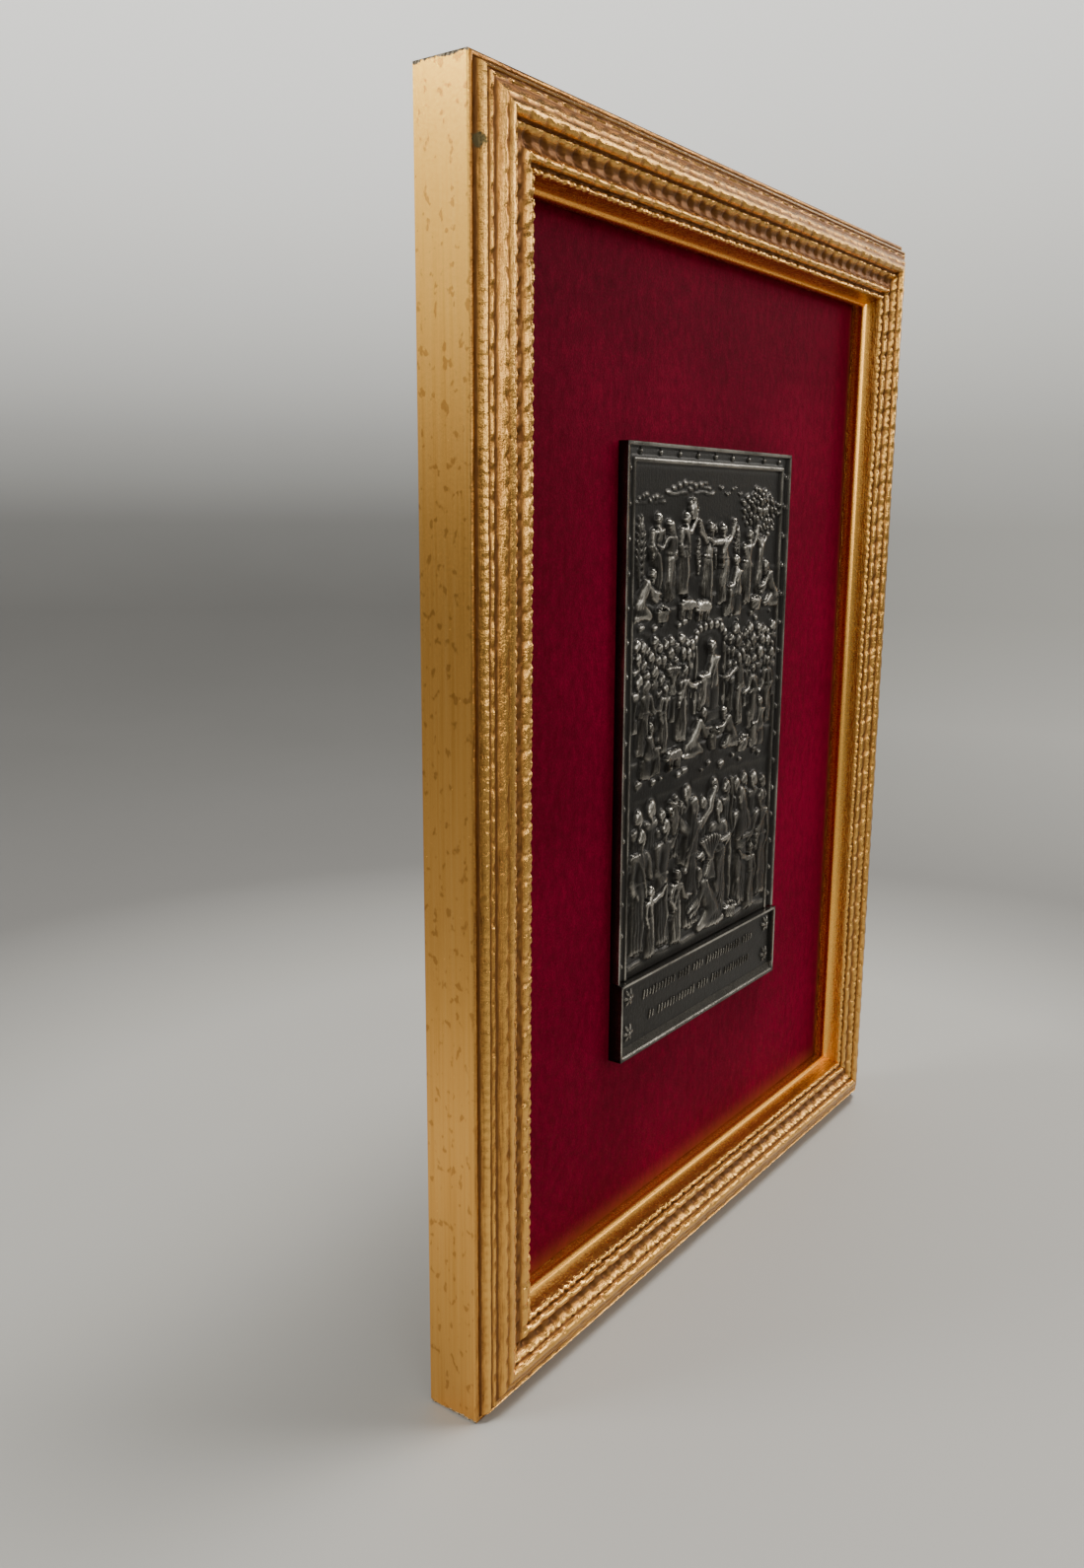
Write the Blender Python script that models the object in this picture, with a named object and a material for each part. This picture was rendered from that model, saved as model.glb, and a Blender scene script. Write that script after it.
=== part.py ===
"""A cast relief plaque with an inscription tablet, mounted on velvet in a gilt ripple-moulded frame.

Metres, +Z up. The wall is the plane y = 0 and the front faces -Y. The origin is on the back of the
top rail, in the middle, where the frame lies against the wall.
"""
import math

import bmesh
import bpy
import numpy as np

MM = 0.001

# the frame
frame_width = 240.0 * MM
frame_height = 320.0 * MM
side_depth = 15.2 * MM
moulding_width = 22.6 * MM
crest_rise = 4.9 * MM
lip_drop = 3.2 * MM
nose_depth = 1.8 * MM
notch_pitch = 6.4 * MM
notch_depth = 1.0 * MM
rebate_width = 3.0 * MM
rebate_depth = 7.4 * MM

# what lies in the rebate
touching_gap = 0.3 * MM
panel_clearance = 0.4 * MM
velvet_thickness = 1.0 * MM
board_thickness = 3.0 * MM
board_bevel = 0.4 * MM
pin_diameter = 1.2 * MM
pin_length = 9.0 * MM
pin_margin = 45.0 * MM

# the hanging strip in the back of the top rail
mount_below_top = 3.8 * MM
pocket_width = 54.0 * MM
pocket_height = 11.6 * MM
pocket_depth = 2.5 * MM
strip_width = 44.0 * MM
strip_height = 8.0 * MM
strip_thickness = 0.7 * MM
strip_foot = 7.0 * MM
strip_joggle = 1.1 * MM
tooth_pitch = 3.0 * MM
tooth_depth = 1.6 * MM
brad_diameter = 3.2 * MM
brad_rise = 0.7 * MM

# the cast plaque; the tablet below it is as wide
plaque_width = 98.0 * MM
plaque_height = 150.7 * MM
plaque_thickness = 3.0 * MM
plaque_drop = 1.1 * MM
ground_thickness = 1.5 * MM
rim_width = 1.0 * MM
channel_width = 2.7 * MM
channel_thickness = 1.9 * MM
fillet_width = 1.3 * MM
fillet_thickness = 2.5 * MM
stud_radius = 0.9 * MM
stud_rise = 0.8 * MM
stud_pitch_across = 10.6 * MM
stud_pitch_down = 9.3 * MM
figure_rise = 1.9 * MM
edge_softness = 0.25 * MM

# the inscription tablet
tablet_height = 23.3 * MM
tablet_thickness = 4.2 * MM
tablet_ground = 2.9 * MM
tablet_rim = 0.8 * MM
tablet_slope = 2.8 * MM
rosette_radius = 2.9 * MM
rosette_inset = 5.4 * MM
rosette_below_top = 5.0 * MM
rosette_above_foot = 7.4 * MM
rosette_rise = 1.2 * MM
rosette_petals = 6

# how finely the cast pieces are faceted
relief_step = 0.8 * MM
tablet_step = 0.8 * MM
plaque_triangles = 5200
tablet_triangles = 800

# places worked out from the sizes above
half_width = frame_width / 2
half_height = frame_height / 2
frame_centre_z = mount_below_top - half_height
velvet_front_y = -(rebate_depth - touching_gap)
board_front_y = velvet_front_y + velvet_thickness + touching_gap
board_back_y = board_front_y + board_thickness
metal_back_y = velvet_front_y - touching_gap
rebate_line = moulding_width - rebate_width
panel_width = frame_width - 2 * (rebate_line + panel_clearance)
panel_height = frame_height - 2 * (rebate_line + panel_clearance)
group_height = plaque_height + touching_gap + tablet_height
tablet_bottom_z = frame_centre_z - plaque_drop - group_height / 2
plaque_bottom_z = tablet_bottom_z + tablet_height + touching_gap
border_width = rim_width + channel_width + fillet_width


def clear_scene():
    for thing in list(bpy.data.objects):
        bpy.data.objects.remove(thing, do_unlink=True)


def material(name, colour, roughness, metallic):
    finish = bpy.data.materials.new(name)
    finish.use_nodes = True
    shader = finish.node_tree.nodes["Principled BSDF"]
    shader.inputs["Base Color"].default_value = (*colour, 1.0)
    shader.inputs["Roughness"].default_value = roughness
    shader.inputs["Metallic"].default_value = metallic
    finish.diffuse_color = (*colour, 1.0)
    return finish


def add_object(name, points, faces, finish, parent):
    """A closed body from points and faces, with every face pointing outwards."""
    mesh = bpy.data.meshes.new(name)
    work = bmesh.new()
    corners = [work.verts.new(p) for p in points]
    for face in faces:
        work.faces.new([corners[i] for i in face])
    bmesh.ops.recalc_face_normals(work, faces=work.faces)
    work.to_mesh(mesh)
    work.free()
    thing = bpy.data.objects.new(name, mesh)
    bpy.context.scene.collection.objects.link(thing)
    mesh.materials.append(finish)
    thing.parent = parent
    return thing


def add_plate(name, centre, size, bevel, finish, parent):
    """A flat board or cloth; its edges are eased by a bevel where the real one is."""
    mesh = bpy.data.meshes.new(name)
    work = bmesh.new()
    bmesh.ops.create_cube(work, size=1.0)
    bmesh.ops.scale(work, vec=size, verts=work.verts)
    if bevel > 0:
        bmesh.ops.bevel(work, geom=work.edges[:], offset=bevel, segments=1, affect="EDGES")
    work.to_mesh(mesh)
    work.free()
    thing = bpy.data.objects.new(name, mesh)
    bpy.context.scene.collection.objects.link(thing)
    mesh.materials.append(finish)
    thing.location = centre
    thing.parent = parent
    return thing


# Frame rails

# The moulding from its outer edge inwards: shares of its width, and shares of the crest's rise.
OUTER_RIDGE_SHARES = [
    (0.000, 0.00),
    (0.045, 0.06),
    (0.105, 0.31),
    (0.150, 0.36),
    (0.186, 0.61),
    (0.240, 0.59),
    (0.310, 0.94),
    (0.372, 1.00),
    (0.440, 0.92),
    (0.490, 0.62),
    (0.535, 0.73),
]
HOLLOW_SHARES = (0.620, 0.50)
BEAD_SHARES = (0.761, 0.57)
BEAD_FOOT_SHARES = (0.815, 0.28)
INNER_RIDGE_SHARES = [
    (0.872, 0.45),
    (0.915, 0.30),
    (0.938, -0.14),
]
TOOTH_SHARE = 0.25


def rail_lines(length):
    """The rail's long lines, outer edge to sight edge and round the back, each a row of points.

    A line holds its two mitred ends, and the bead and the hollow between them also hold two
    points to each notch, so that every second one can sink.
    """
    half = length / 2
    mitre_gap = touching_gap / math.sqrt(2)

    def end(u):
        return half - u - mitre_gap

    def forward(share):
        return -side_depth - share * crest_rise

    cut_limit = end(BEAD_FOOT_SHARES[0] * moulding_width) - notch_pitch / 4
    steps = int(cut_limit / (notch_pitch / 2))

    def straight(u, y):
        return [(-end(u), y, u), (end(u), y, u)]

    def notched(u, y_high, y_low):
        row = [(-end(u), y_high, u)]
        for k in range(-steps, steps + 1):
            row.append((k * notch_pitch / 2, y_high if k % 2 == 0 else y_low, u))
        row.append((end(u), y_high, u))
        return row

    lines = [straight(u * moulding_width, forward(rise)) for u, rise in OUTER_RIDGE_SHARES[:-1]]
    u, y = OUTER_RIDGE_SHARES[-1][0] * moulding_width, forward(OUTER_RIDGE_SHARES[-1][1])
    lines.append(notched(u, y, y))
    u, y = HOLLOW_SHARES[0] * moulding_width, forward(HOLLOW_SHARES[1])
    lines.append(notched(u, y - TOOTH_SHARE * notch_depth, y + notch_depth * (1 - TOOTH_SHARE)))
    u, y = BEAD_SHARES[0] * moulding_width, forward(BEAD_SHARES[1])
    lines.append(notched(u, y, y + notch_depth))
    u, y = BEAD_FOOT_SHARES[0] * moulding_width, forward(BEAD_FOOT_SHARES[1])
    lines.append(notched(u, y, y))
    lines += [straight(u * moulding_width, forward(rise)) for u, rise in INNER_RIDGE_SHARES]
    nose = 0.3 * nose_depth
    lines.append(straight(moulding_width - nose, -side_depth + lip_drop))
    lines.append(straight(moulding_width, -side_depth + lip_drop + nose_depth / 2))
    lines.append(straight(moulding_width - nose, -side_depth + lip_drop + nose_depth))
    lines.append(straight(moulding_width - nose, -rebate_depth))
    lines.append(straight(rebate_line, -rebate_depth))
    lines.append(straight(rebate_line, 0.0))
    lines.append(straight(0.0, 0.0))
    return lines


def add_rail(name, length, turn, centre, finish, parent):
    """One mitred rail: its lines joined to each other, and its two ends closed."""
    points = []
    rows = []
    for line in rail_lines(length):
        rows.append(range(len(points), len(points) + len(line)))
        points += line
    faces = []
    for here, after in zip(rows, rows[1:] + rows[:1]):
        if len(here) == len(after) and len(here) > 2:
            for k in range(len(here) - 1):
                faces.append((here[k], here[k + 1], after[k + 1]))
                faces.append((here[k], after[k + 1], after[k]))
        else:
            faces.append((*here, *reversed(after)))
    faces.append([row[0] for row in rows])
    faces.append([row[-1] for row in rows])
    rail = add_object(name, points, faces, finish, parent)
    rail.location = centre
    rail.rotation_euler = (0.0, turn, 0.0)
    return rail


def cut_hanger_pocket(rail, parent):
    """A shallow pocket for the hanging strip, open towards the rebate."""
    cutter_depth = 2 * pocket_depth
    mesh = bpy.data.meshes.new("hanger_pocket_cutter")
    work = bmesh.new()
    bmesh.ops.create_cube(work, size=1.0)
    bmesh.ops.scale(work, vec=(pocket_width, cutter_depth, 2 * pocket_height), verts=work.verts)
    work.to_mesh(mesh)
    work.free()
    cutter = bpy.data.objects.new("hanger_pocket_cutter", mesh)
    bpy.context.scene.collection.objects.link(cutter)
    cutter.location = (0.0, 0.0, half_height - rebate_line)
    cutter.parent = parent
    cutter.hide_render = True
    cutter.display_type = "WIRE"
    cut = rail.modifiers.new("hanger pocket", "BOOLEAN")
    cut.operation = "DIFFERENCE"
    cut.solver = "EXACT"
    cut.object = cutter


# Pins, hanging strip and brads


def add_pin(name, place, inward, finish, parent):
    """A headless pin lying on the board's back, from the rebate's wall inwards."""
    mesh = bpy.data.meshes.new(name)
    work = bmesh.new()
    point_length = 1.5 * pin_diameter
    shank = pin_length - point_length
    bmesh.ops.create_cone(work, cap_ends=True, segments=8, radius1=pin_diameter / 2,
                          radius2=pin_diameter / 2, depth=shank)
    top = [v for v in work.verts if v.co.z > 0]
    cap = [f for f in work.faces if all(v in top for v in f.verts)]
    bmesh.ops.poke(work, faces=cap)
    tip = max(work.verts, key=lambda v: v.co.z - v.co.xy.length)
    tip.co.z += point_length
    bmesh.ops.translate(work, vec=(0.0, 0.0, shank / 2), verts=work.verts)
    bmesh.ops.recalc_face_normals(work, faces=work.faces)
    work.to_mesh(mesh)
    work.free()
    mesh.shade_smooth()
    pin = bpy.data.objects.new(name, mesh)
    bpy.context.scene.collection.objects.link(pin)
    mesh.materials.append(finish)
    pin.location = place
    pin.rotation_euler = (0.0, inward, 0.0)
    pin.parent = parent


def add_pins(finish, parent):
    """Two pins on each side rail and one each at the top and the bottom."""
    y = board_back_y + touching_gap + pin_diameter / 2
    side_x = half_width - rebate_line - touching_gap
    end_z = half_height - rebate_line - touching_gap
    high = half_height - pin_margin
    across = half_width - pin_margin
    places = [
        ((-side_x, y, high), math.pi / 2),
        ((-side_x, y, -high), math.pi / 2),
        ((side_x, y, high), -math.pi / 2),
        ((side_x, y, -high), -math.pi / 2),
        ((-across, y, -end_z), 0.0),
        ((across, y, -end_z), 0.0),
    ]
    for number, (place, inward) in enumerate(places, start=1):
        add_pin(f"panel_pin_{number}", place, inward, finish, parent)


def strip_bottom_z():
    """The hanging strip stands in the middle of its pocket."""
    pocket_low = half_height - rebate_line
    return pocket_low + (pocket_height - strip_height) / 2


def add_hanger(finish, parent):
    """A thin strip with flat feet, set off the wood between them, with teeth along its lower edge."""
    half = strip_width / 2
    bend = 2 * strip_joggle
    tooth_run = strip_width - 2 * (strip_foot + bend)
    teeth = max(2, int(tooth_run / tooth_pitch))
    stations = [(-half, 0.0, 0.0), (-half + strip_foot, 0.0, 0.0)]
    for k in range(2 * teeth + 1):
        x = -tooth_run / 2 + k * tooth_run / (2 * teeth)
        stations.append((x, strip_joggle, tooth_depth if k % 2 else 0.0))
    stations += [(half - strip_foot, 0.0, 0.0), (half, 0.0, 0.0)]
    floor_y = -pocket_depth + touching_gap
    points = []
    for x, offset, lift in stations:
        for y in (floor_y + offset, floor_y + offset + strip_thickness):
            points.append((x, y, lift))
            points.append((x, y, strip_height))
    faces = [(0, 1, 3, 2)]
    for k in range(len(stations) - 1):
        a, b = 4 * k, 4 * (k + 1)
        faces += [(a, b, b + 1, a + 1), (a + 2, a + 3, b + 3, b + 2)]
        faces += [(a, a + 2, b + 2, b), (a + 1, b + 1, b + 3, a + 3)]
    last = 4 * (len(stations) - 1)
    faces.append((last, last + 1, last + 3, last + 2))
    hanger = add_object("hanger", points, faces, finish, parent)
    hanger.location = (0.0, 0.0, strip_bottom_z())


def add_brad(name, x, finish, parent):
    """The low domed head of a brad, on one foot of the strip."""
    rings = 3
    sides = 12
    base_y = -pocket_depth + touching_gap + strip_thickness + touching_gap
    points = []
    for ring in range(rings):
        angle = ring * math.pi / 2 / rings
        radius = brad_diameter / 2 * math.cos(angle)
        y = base_y + brad_rise * math.sin(angle)
        for side in range(sides):
            around = side * math.tau / sides
            points.append((radius * math.cos(around), y, radius * math.sin(around)))
    points.append((0.0, base_y + brad_rise, 0.0))
    crown = len(points) - 1
    faces = [list(range(sides))]
    for ring in range(rings - 1):
        for side in range(sides):
            a = ring * sides + side
            b = ring * sides + (side + 1) % sides
            faces.append((a, b, b + sides, a + sides))
    outer = (rings - 1) * sides
    for side in range(sides):
        faces.append((outer + side, outer + (side + 1) % sides, crown))
    brad = add_object(name, points, faces, finish, parent)
    brad.data.shade_smooth()
    brad.location = (x, 0.0, strip_bottom_z() + strip_height / 2)


# Cast relief: every form is a height over the plate, worked out on a grid


def soft_step(value, width):
    """0 below zero, 1 above the width, and a smooth rise between them."""
    t = np.clip(value / width, 0.0, 1.0)
    return t * t * (3 - 2 * t)


class Relief:
    """A ground that figures are raised on, one in front of the other.

    x runs across from the middle of the field and z up from its foot. Places waver a little, as a
    modeller's hand does.
    """

    def __init__(self, x, z, rise):
        waver = 0.09 * rise
        across, upward = x / rise, z / rise
        self.x = x + waver * (np.sin(1.3 * upward + 0.6) + 0.6 * np.sin(2.9 * across + 1.16 * upward))
        self.z = z + waver * (np.sin(1.1 * across + 2.0) + 0.6 * np.sin(2.6 * upward - 1.3 * across))
        self.rise = rise
        self.soft = 0.22 * rise
        self.height = np.zeros_like(x)
        self.start()

    def start(self):
        """Begins an empty layer."""
        self.layer = np.full_like(self.x, -1.0)
        self.edge = np.full_like(self.x, 1.0)

    def merge(self, form, away):
        """Adds a form where away is below zero, running softly into the layer's forms."""
        near = np.clip(1 - np.abs(self.layer - form) / self.soft, 0.0, 1.0)
        swell = np.where(self.layer > 0, 0.25 * self.soft * near ** 2, 0.0)
        joined = np.maximum(self.layer, form) + swell
        self.layer = np.where(away < 0, joined, self.layer)
        self.edge = np.minimum(self.edge, away)

    def limb(self, a, b, radius_a, radius_b, lift):
        """A tapered bar from a to b; its height is that of a rounded section."""
        dx, dz = b[0] - a[0], b[1] - a[1]
        run = max(dx * dx + dz * dz, 1e-12)
        t = np.clip(((self.x - a[0]) * dx + (self.z - a[1]) * dz) / run, 0.0, 1.0)
        away = np.hypot(self.x - a[0] - t * dx, self.z - a[1] - t * dz)
        radius = radius_a + (radius_b - radius_a) * t
        form = lift * self.rise * np.sqrt(np.clip(1 - (away / radius) ** 2, 0.0, 1.0))
        self.merge(form, away - radius)

    def cloth(self, top, hem, half_top, half_hem, lift, folds, swing, depth=0.24):
        """Hanging cloth from top to hem, with rounded folds that deepen and sway towards the hem."""
        dx, dz = hem[0] - top[0], hem[1] - top[1]
        length = math.hypot(dx, dz)
        t = ((self.x - top[0]) * dx + (self.z - top[1]) * dz) / length ** 2
        across = ((self.x - top[0]) * dz - (self.z - top[1]) * dx) / length
        t_in = np.clip(t, 0.0, 1.0)
        half = half_top + (half_hem - half_top) * t_in ** 0.7 + 0.10 * half_top * np.sin(math.pi * t_in)
        s = across / half
        body = np.clip(1 - np.abs(s) ** 2.2, 0.0, 1.0) ** 0.5
        turn = 0.5 * math.pi * folds * (s + swing * t + 0.10 * np.sin(4.0 * t + folds))
        fold = np.abs(np.cos(turn)) ** 0.55
        deep = depth * np.clip(t + 0.12, 0.0, 1.0) ** 0.6
        form = lift * self.rise * body * (1 - deep + deep * fold)
        away = np.maximum((np.abs(s) - 1) * half, np.maximum(-t, t - 1 + 0.03 * (1 - fold)) * length)
        self.merge(form, away)

    def lay(self, base):
        """Sets the layer's forms on the ground at a base height, with a dip round them."""
        dip = 0.26 * self.rise * np.exp(-np.clip(self.edge, 0.0, None) / (0.30 * self.rise))
        self.height = self.height - dip
        raised = base * self.rise + self.layer
        self.height = np.where(self.layer > 0, np.maximum(self.height, raised), self.height)
        self.start()


def figure_places(x, z, size, look):
    """Places on a figure: shares of its size towards the side it looks to, and up from its foot."""

    def spot(across, upward):
        return x + across * look * size, z + upward * size

    return spot


def head(relief, x, z, size, look, lift, covered=False):
    """An oval head on its neck, turned to one side, with hair or a covering behind it."""
    spot = figure_places(x, z, size, look)
    relief.limb(spot(-0.10, -0.80), spot(0.0, -0.30), 0.26 * size, 0.22 * size, 0.80 * lift)
    relief.limb(spot(0.0, 0.10), spot(-0.08, 0.12), 0.37 * size, 0.38 * size, lift)
    relief.limb(spot(0.06, -0.06), spot(0.09, -0.30), 0.31 * size, 0.19 * size, 0.98 * lift)
    relief.limb(spot(0.19, 0.04), spot(0.24, -0.10), 0.05 * size, 0.08 * size, 1.06 * lift)
    back = 0.46 if covered else 0.36
    relief.limb(spot(-0.08, 0.24), spot(-0.26, -0.12), back * size, (back - 0.08) * size, 0.99 * lift)


def arm(relief, shoulder, size, upper, lower, lift):
    """Upper arm and forearm at two angles from straight down, with a loose sleeve and a hand."""
    elbow = (shoulder[0] + 0.165 * size * math.sin(upper), shoulder[1] - 0.165 * size * math.cos(upper))
    wrist = (elbow[0] + 0.135 * size * math.sin(lower), elbow[1] - 0.135 * size * math.cos(lower))
    palm = (wrist[0] + 0.035 * size * math.sin(lower), wrist[1] - 0.035 * size * math.cos(lower))
    sleeve = (0.5 * (elbow[0] + wrist[0]), 0.5 * (elbow[1] + wrist[1]) - 0.045 * size)
    relief.limb(shoulder, elbow, 0.050 * size, 0.046 * size, 0.80 * lift)
    relief.limb(elbow, wrist, 0.042 * size, 0.024 * size, 0.90 * lift)
    relief.limb(elbow, sleeve, 0.044 * size, 0.030 * size, 0.80 * lift)
    relief.limb(wrist, palm, 0.024 * size, 0.018 * size, 0.95 * lift)


def mantle(relief, chest, hips, size, side, lift):
    """Cloth gathered over one shoulder and across to the other hip, in long folds."""
    for k in range(4):
        a = (chest[0] + side * (0.10 - 0.035 * k) * size, chest[1] + 0.035 * size)
        b = (hips[0] - side * (0.09 + 0.004 * k) * size, hips[1] + (0.10 - 0.055 * k) * size)
        relief.limb(a, b, 0.024 * size, 0.020 * size, (0.96 + 0.02 * (k % 2)) * lift)


def standing(relief, x, z, size, look, arms, lean=0.0, base=0.08, folds=6, veil=False, over=0):
    """A robed figure on one leg more than the other; arms holds two pairs of angles."""
    spot = figure_places(x, z, size, look)
    lift = 0.80
    tilt = lean * look
    hips, chest = spot(0.3 * tilt - 0.015, 0.53), spot(tilt, 0.765)
    crown = spot(1.2 * tilt + 0.015, 0.925)
    for side in (-1, 1):
        toe = spot(0.055 * side + 0.08, 0.014)
        relief.limb(spot(0.055 * side + 0.03, 0.022), toe, 0.026 * size, 0.018 * size, 0.5 * lift)
    robe_top = (hips[0], hips[1] + 0.03 * size)
    relief.cloth(robe_top, spot(0.0, 0.03), 0.088 * size, 0.140 * size, 0.84 * lift, folds, 0.30 * look)
    thigh, knee, shin = spot(0.3 * tilt + 0.015, 0.51), spot(0.055, 0.25), spot(0.03, 0.09)
    relief.limb(thigh, knee, 0.062 * size, 0.048 * size, 0.93 * lift)
    relief.limb(knee, shin, 0.046 * size, 0.030 * size, 0.84 * lift)
    relief.limb(hips, spot(tilt, 0.735), 0.088 * size, 0.092 * size, 0.88 * lift)
    collar = 0.048 * size
    relief.limb(spot(tilt - 0.075, 0.777), spot(tilt + 0.075, 0.777), collar, collar, 0.80 * lift)
    waist = 0.3 * tilt - 0.015
    belt = 0.016 * size
    relief.limb(spot(waist - 0.075, 0.585), spot(waist + 0.075, 0.58), belt, belt, 0.93 * lift)
    if over:
        mantle(relief, chest, hips, size, over, lift)
    if veil:
        veil_top, veil_hem = spot(1.2 * tilt - 0.005, 0.98), spot(waist - 0.07, 0.51)
        relief.cloth(veil_top, veil_hem, 0.045 * size, 0.125 * size, 0.86 * lift, 5, 0.2 * look)
    head(relief, *crown, 0.125 * size, look, 1.02 * lift, veil)
    for side, (upper, lower) in zip((-1, 1), arms):
        shoulder = (chest[0] + 0.098 * side * size, chest[1] + 0.005 * size)
        arm(relief, shoulder, size, upper, lower, 1.04 * lift)
    relief.lay(base)


def kneeling(relief, x, z, size, look, reach, base=0.10, veil=False):
    """A robed figure on its knees, bent forwards, with both arms reaching out."""
    spot = figure_places(x, z, size, look)
    lift = 0.80
    hips, chest, knee, heel = spot(-0.13, 0.20), spot(0.05, 0.44), spot(0.10, 0.065), spot(-0.33, 0.045)
    relief.limb(heel, spot(-0.38, 0.03), 0.030 * size, 0.020 * size, 0.5 * lift)
    robe_top, hem = spot(-0.15, 0.25), spot(-0.14, 0.005)
    relief.cloth(robe_top, hem, 0.085 * size, 0.215 * size, 0.78 * lift, 7, 0.25 * look)
    relief.limb(hips, knee, 0.115 * size, 0.062 * size, 0.90 * lift)
    relief.limb(knee, heel, 0.058 * size, 0.040 * size, 0.78 * lift)
    relief.limb(hips, chest, 0.112 * size, 0.088 * size, 0.92 * lift)
    for k in range(3):
        fold_top, fold_end = spot(0.0, 0.49 - 0.05 * k), spot(-0.11 - 0.05 * k, 0.16)
        relief.limb(fold_top, fold_end, 0.020 * size, 0.026 * size, 0.96 * lift)
    head(relief, *spot(0.17, 0.575), 0.125 * size, look, 1.02 * lift, veil)
    for k in range(2):
        upper, lower = look * (reach - 0.35 * k), look * (reach + 0.45 - 0.2 * k)
        arm(relief, spot(0.07 + 0.02 * k, 0.43), size, upper, lower, (1.04 - 0.08 * k) * lift)
    relief.lay(base)


def seated(relief, x, z, size, look, base=0.10, veil=False):
    """A robed figure on a low block, one foot drawn back, the hands over the knees."""
    spot = figure_places(x, z, size, look)
    lift = 0.80
    relief.cloth(spot(-0.09, 0.27), spot(-0.09, 0.0), 0.13 * size, 0.13 * size, 0.50 * lift, 0, 0.0)
    hips, chest, knee = spot(-0.08, 0.33), spot(-0.05, 0.545), spot(0.16, 0.325)
    relief.limb(spot(0.19, 0.03), spot(0.24, 0.02), 0.028 * size, 0.018 * size, 0.55 * lift)
    lap, hem = spot(0.14, 0.375), spot(0.13, 0.035)
    relief.cloth(lap, hem, 0.070 * size, 0.130 * size, 0.82 * lift, 6, 0.3 * look)
    relief.limb(hips, knee, 0.098 * size, 0.066 * size, 0.93 * lift)
    relief.limb(knee, spot(0.18, 0.10), 0.056 * size, 0.034 * size, 0.88 * lift)
    relief.limb(hips, chest, 0.100 * size, 0.090 * size, 0.90 * lift)
    mantle(relief, chest, hips, size, -look, 0.98 * lift)
    head(relief, *spot(-0.015, 0.71), 0.125 * size, look, 1.02 * lift, veil)
    arm(relief, spot(-0.02, 0.545), size, 0.5 * look, 1.5 * look, 1.04 * lift)
    relief.lay(base)


def onlookers(relief, left, right, z, size, count, base):
    """A row of people seen to the waist, each a little off the line and turned their own way."""
    for k in range(count):
        x = left + (right - left) * (k + 0.5) / count + 0.06 * size * math.sin(3.1 * k)
        level = z + 0.09 * size * math.sin(2.4 * k + 7 * left / size)
        look = 1 if math.sin(1.7 * k + z / size) > 0 else -1
        spot = figure_places(x, level, size, look)
        relief.cloth(spot(0.0, 0.02), spot(0.0, -0.55), 0.15 * size, 0.20 * size, 0.52, 5, 0.3 * look)
        relief.limb(spot(-0.11, -0.02), spot(0.11, -0.02), 0.075 * size, 0.075 * size, 0.56)
        head(relief, *spot(0.01, 0.175), 0.20 * size, look, 0.74, k % 3 == 1)
        relief.lay(base)


def tree(relief, x, z, height, spread, leaves, base):
    """A trunk with boughs and a crown of leaves set out by the golden angle."""
    fork = (x + 0.08 * spread, z + 0.45 * height)
    bend = (x, z + 0.2 * height)
    relief.limb((x - 0.05 * spread, z), bend, 0.070 * height, 0.045 * height, 0.60)
    relief.limb(bend, fork, 0.045 * height, 0.038 * height, 0.60)
    for turn in (-1.0, -0.35, 0.35, 1.0):
        tip = (fork[0] + 0.6 * spread * math.sin(turn), fork[1] + 0.34 * height * math.cos(turn))
        relief.limb(fork, tip, 0.030 * height, 0.014 * height, 0.46)
    relief.lay(base)
    for k in range(leaves):
        out = math.sqrt((leaves - k - 0.5) / leaves)
        around = k * math.pi * (3 - math.sqrt(5))
        bough = out * (1 + 0.10 * math.sin(5 * around))
        middle = (
            x + 0.90 * spread * bough * math.cos(around),
            z + 0.76 * height + 0.22 * height * bough * math.sin(around),
        )
        turn = around * 1.3
        tip = (middle[0] + 0.12 * spread * math.cos(turn), middle[1] + 0.12 * spread * math.sin(turn))
        relief.limb(middle, tip, 0.080 * spread, 0.035 * spread, 0.36 + 0.20 * (1 - out))
        relief.lay(base + 0.14 * (1 - out))


def cypress(relief, x, z, height, base):
    """A narrow dark tree: tufts that rise on both sides of a stem."""
    relief.limb((x, z), (x, z + 0.15 * height), 0.030 * height, 0.026 * height, 0.40)
    for k in range(9):
        level = z + (0.12 + 0.085 * k) * height
        wide = 0.105 * height * math.sin(math.pi * (k + 1.6) / 11)
        for side in (-1, 1):
            tip = (x + side * wide, level + 0.13 * height)
            relief.limb((x + 0.2 * side * wide, level), tip, 0.036 * height, 0.014 * height, 0.40)
    relief.lay(base)


def sheaf(relief, x, z, size, base):
    """Stalks tied at the waist, spreading to ears above and to a foot below."""
    for k in range(7):
        lean = 0.15 * (k - 3)
        tip = (x + 0.9 * size * math.sin(lean), z + 0.55 * size + 0.42 * size * math.cos(lean))
        waist = (x + 0.1 * lean * size, z + 0.48 * size)
        relief.limb((x + 0.50 * size * math.sin(lean), z), waist, 0.05 * size, 0.04 * size, 0.46)
        relief.limb(waist, tip, 0.035 * size, 0.075 * size, 0.60)
    spot = figure_places(x, z, size, 1)
    relief.limb(spot(-0.10, 0.48), spot(0.10, 0.48), 0.045 * size, 0.045 * size, 0.66)
    relief.lay(base)


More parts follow.
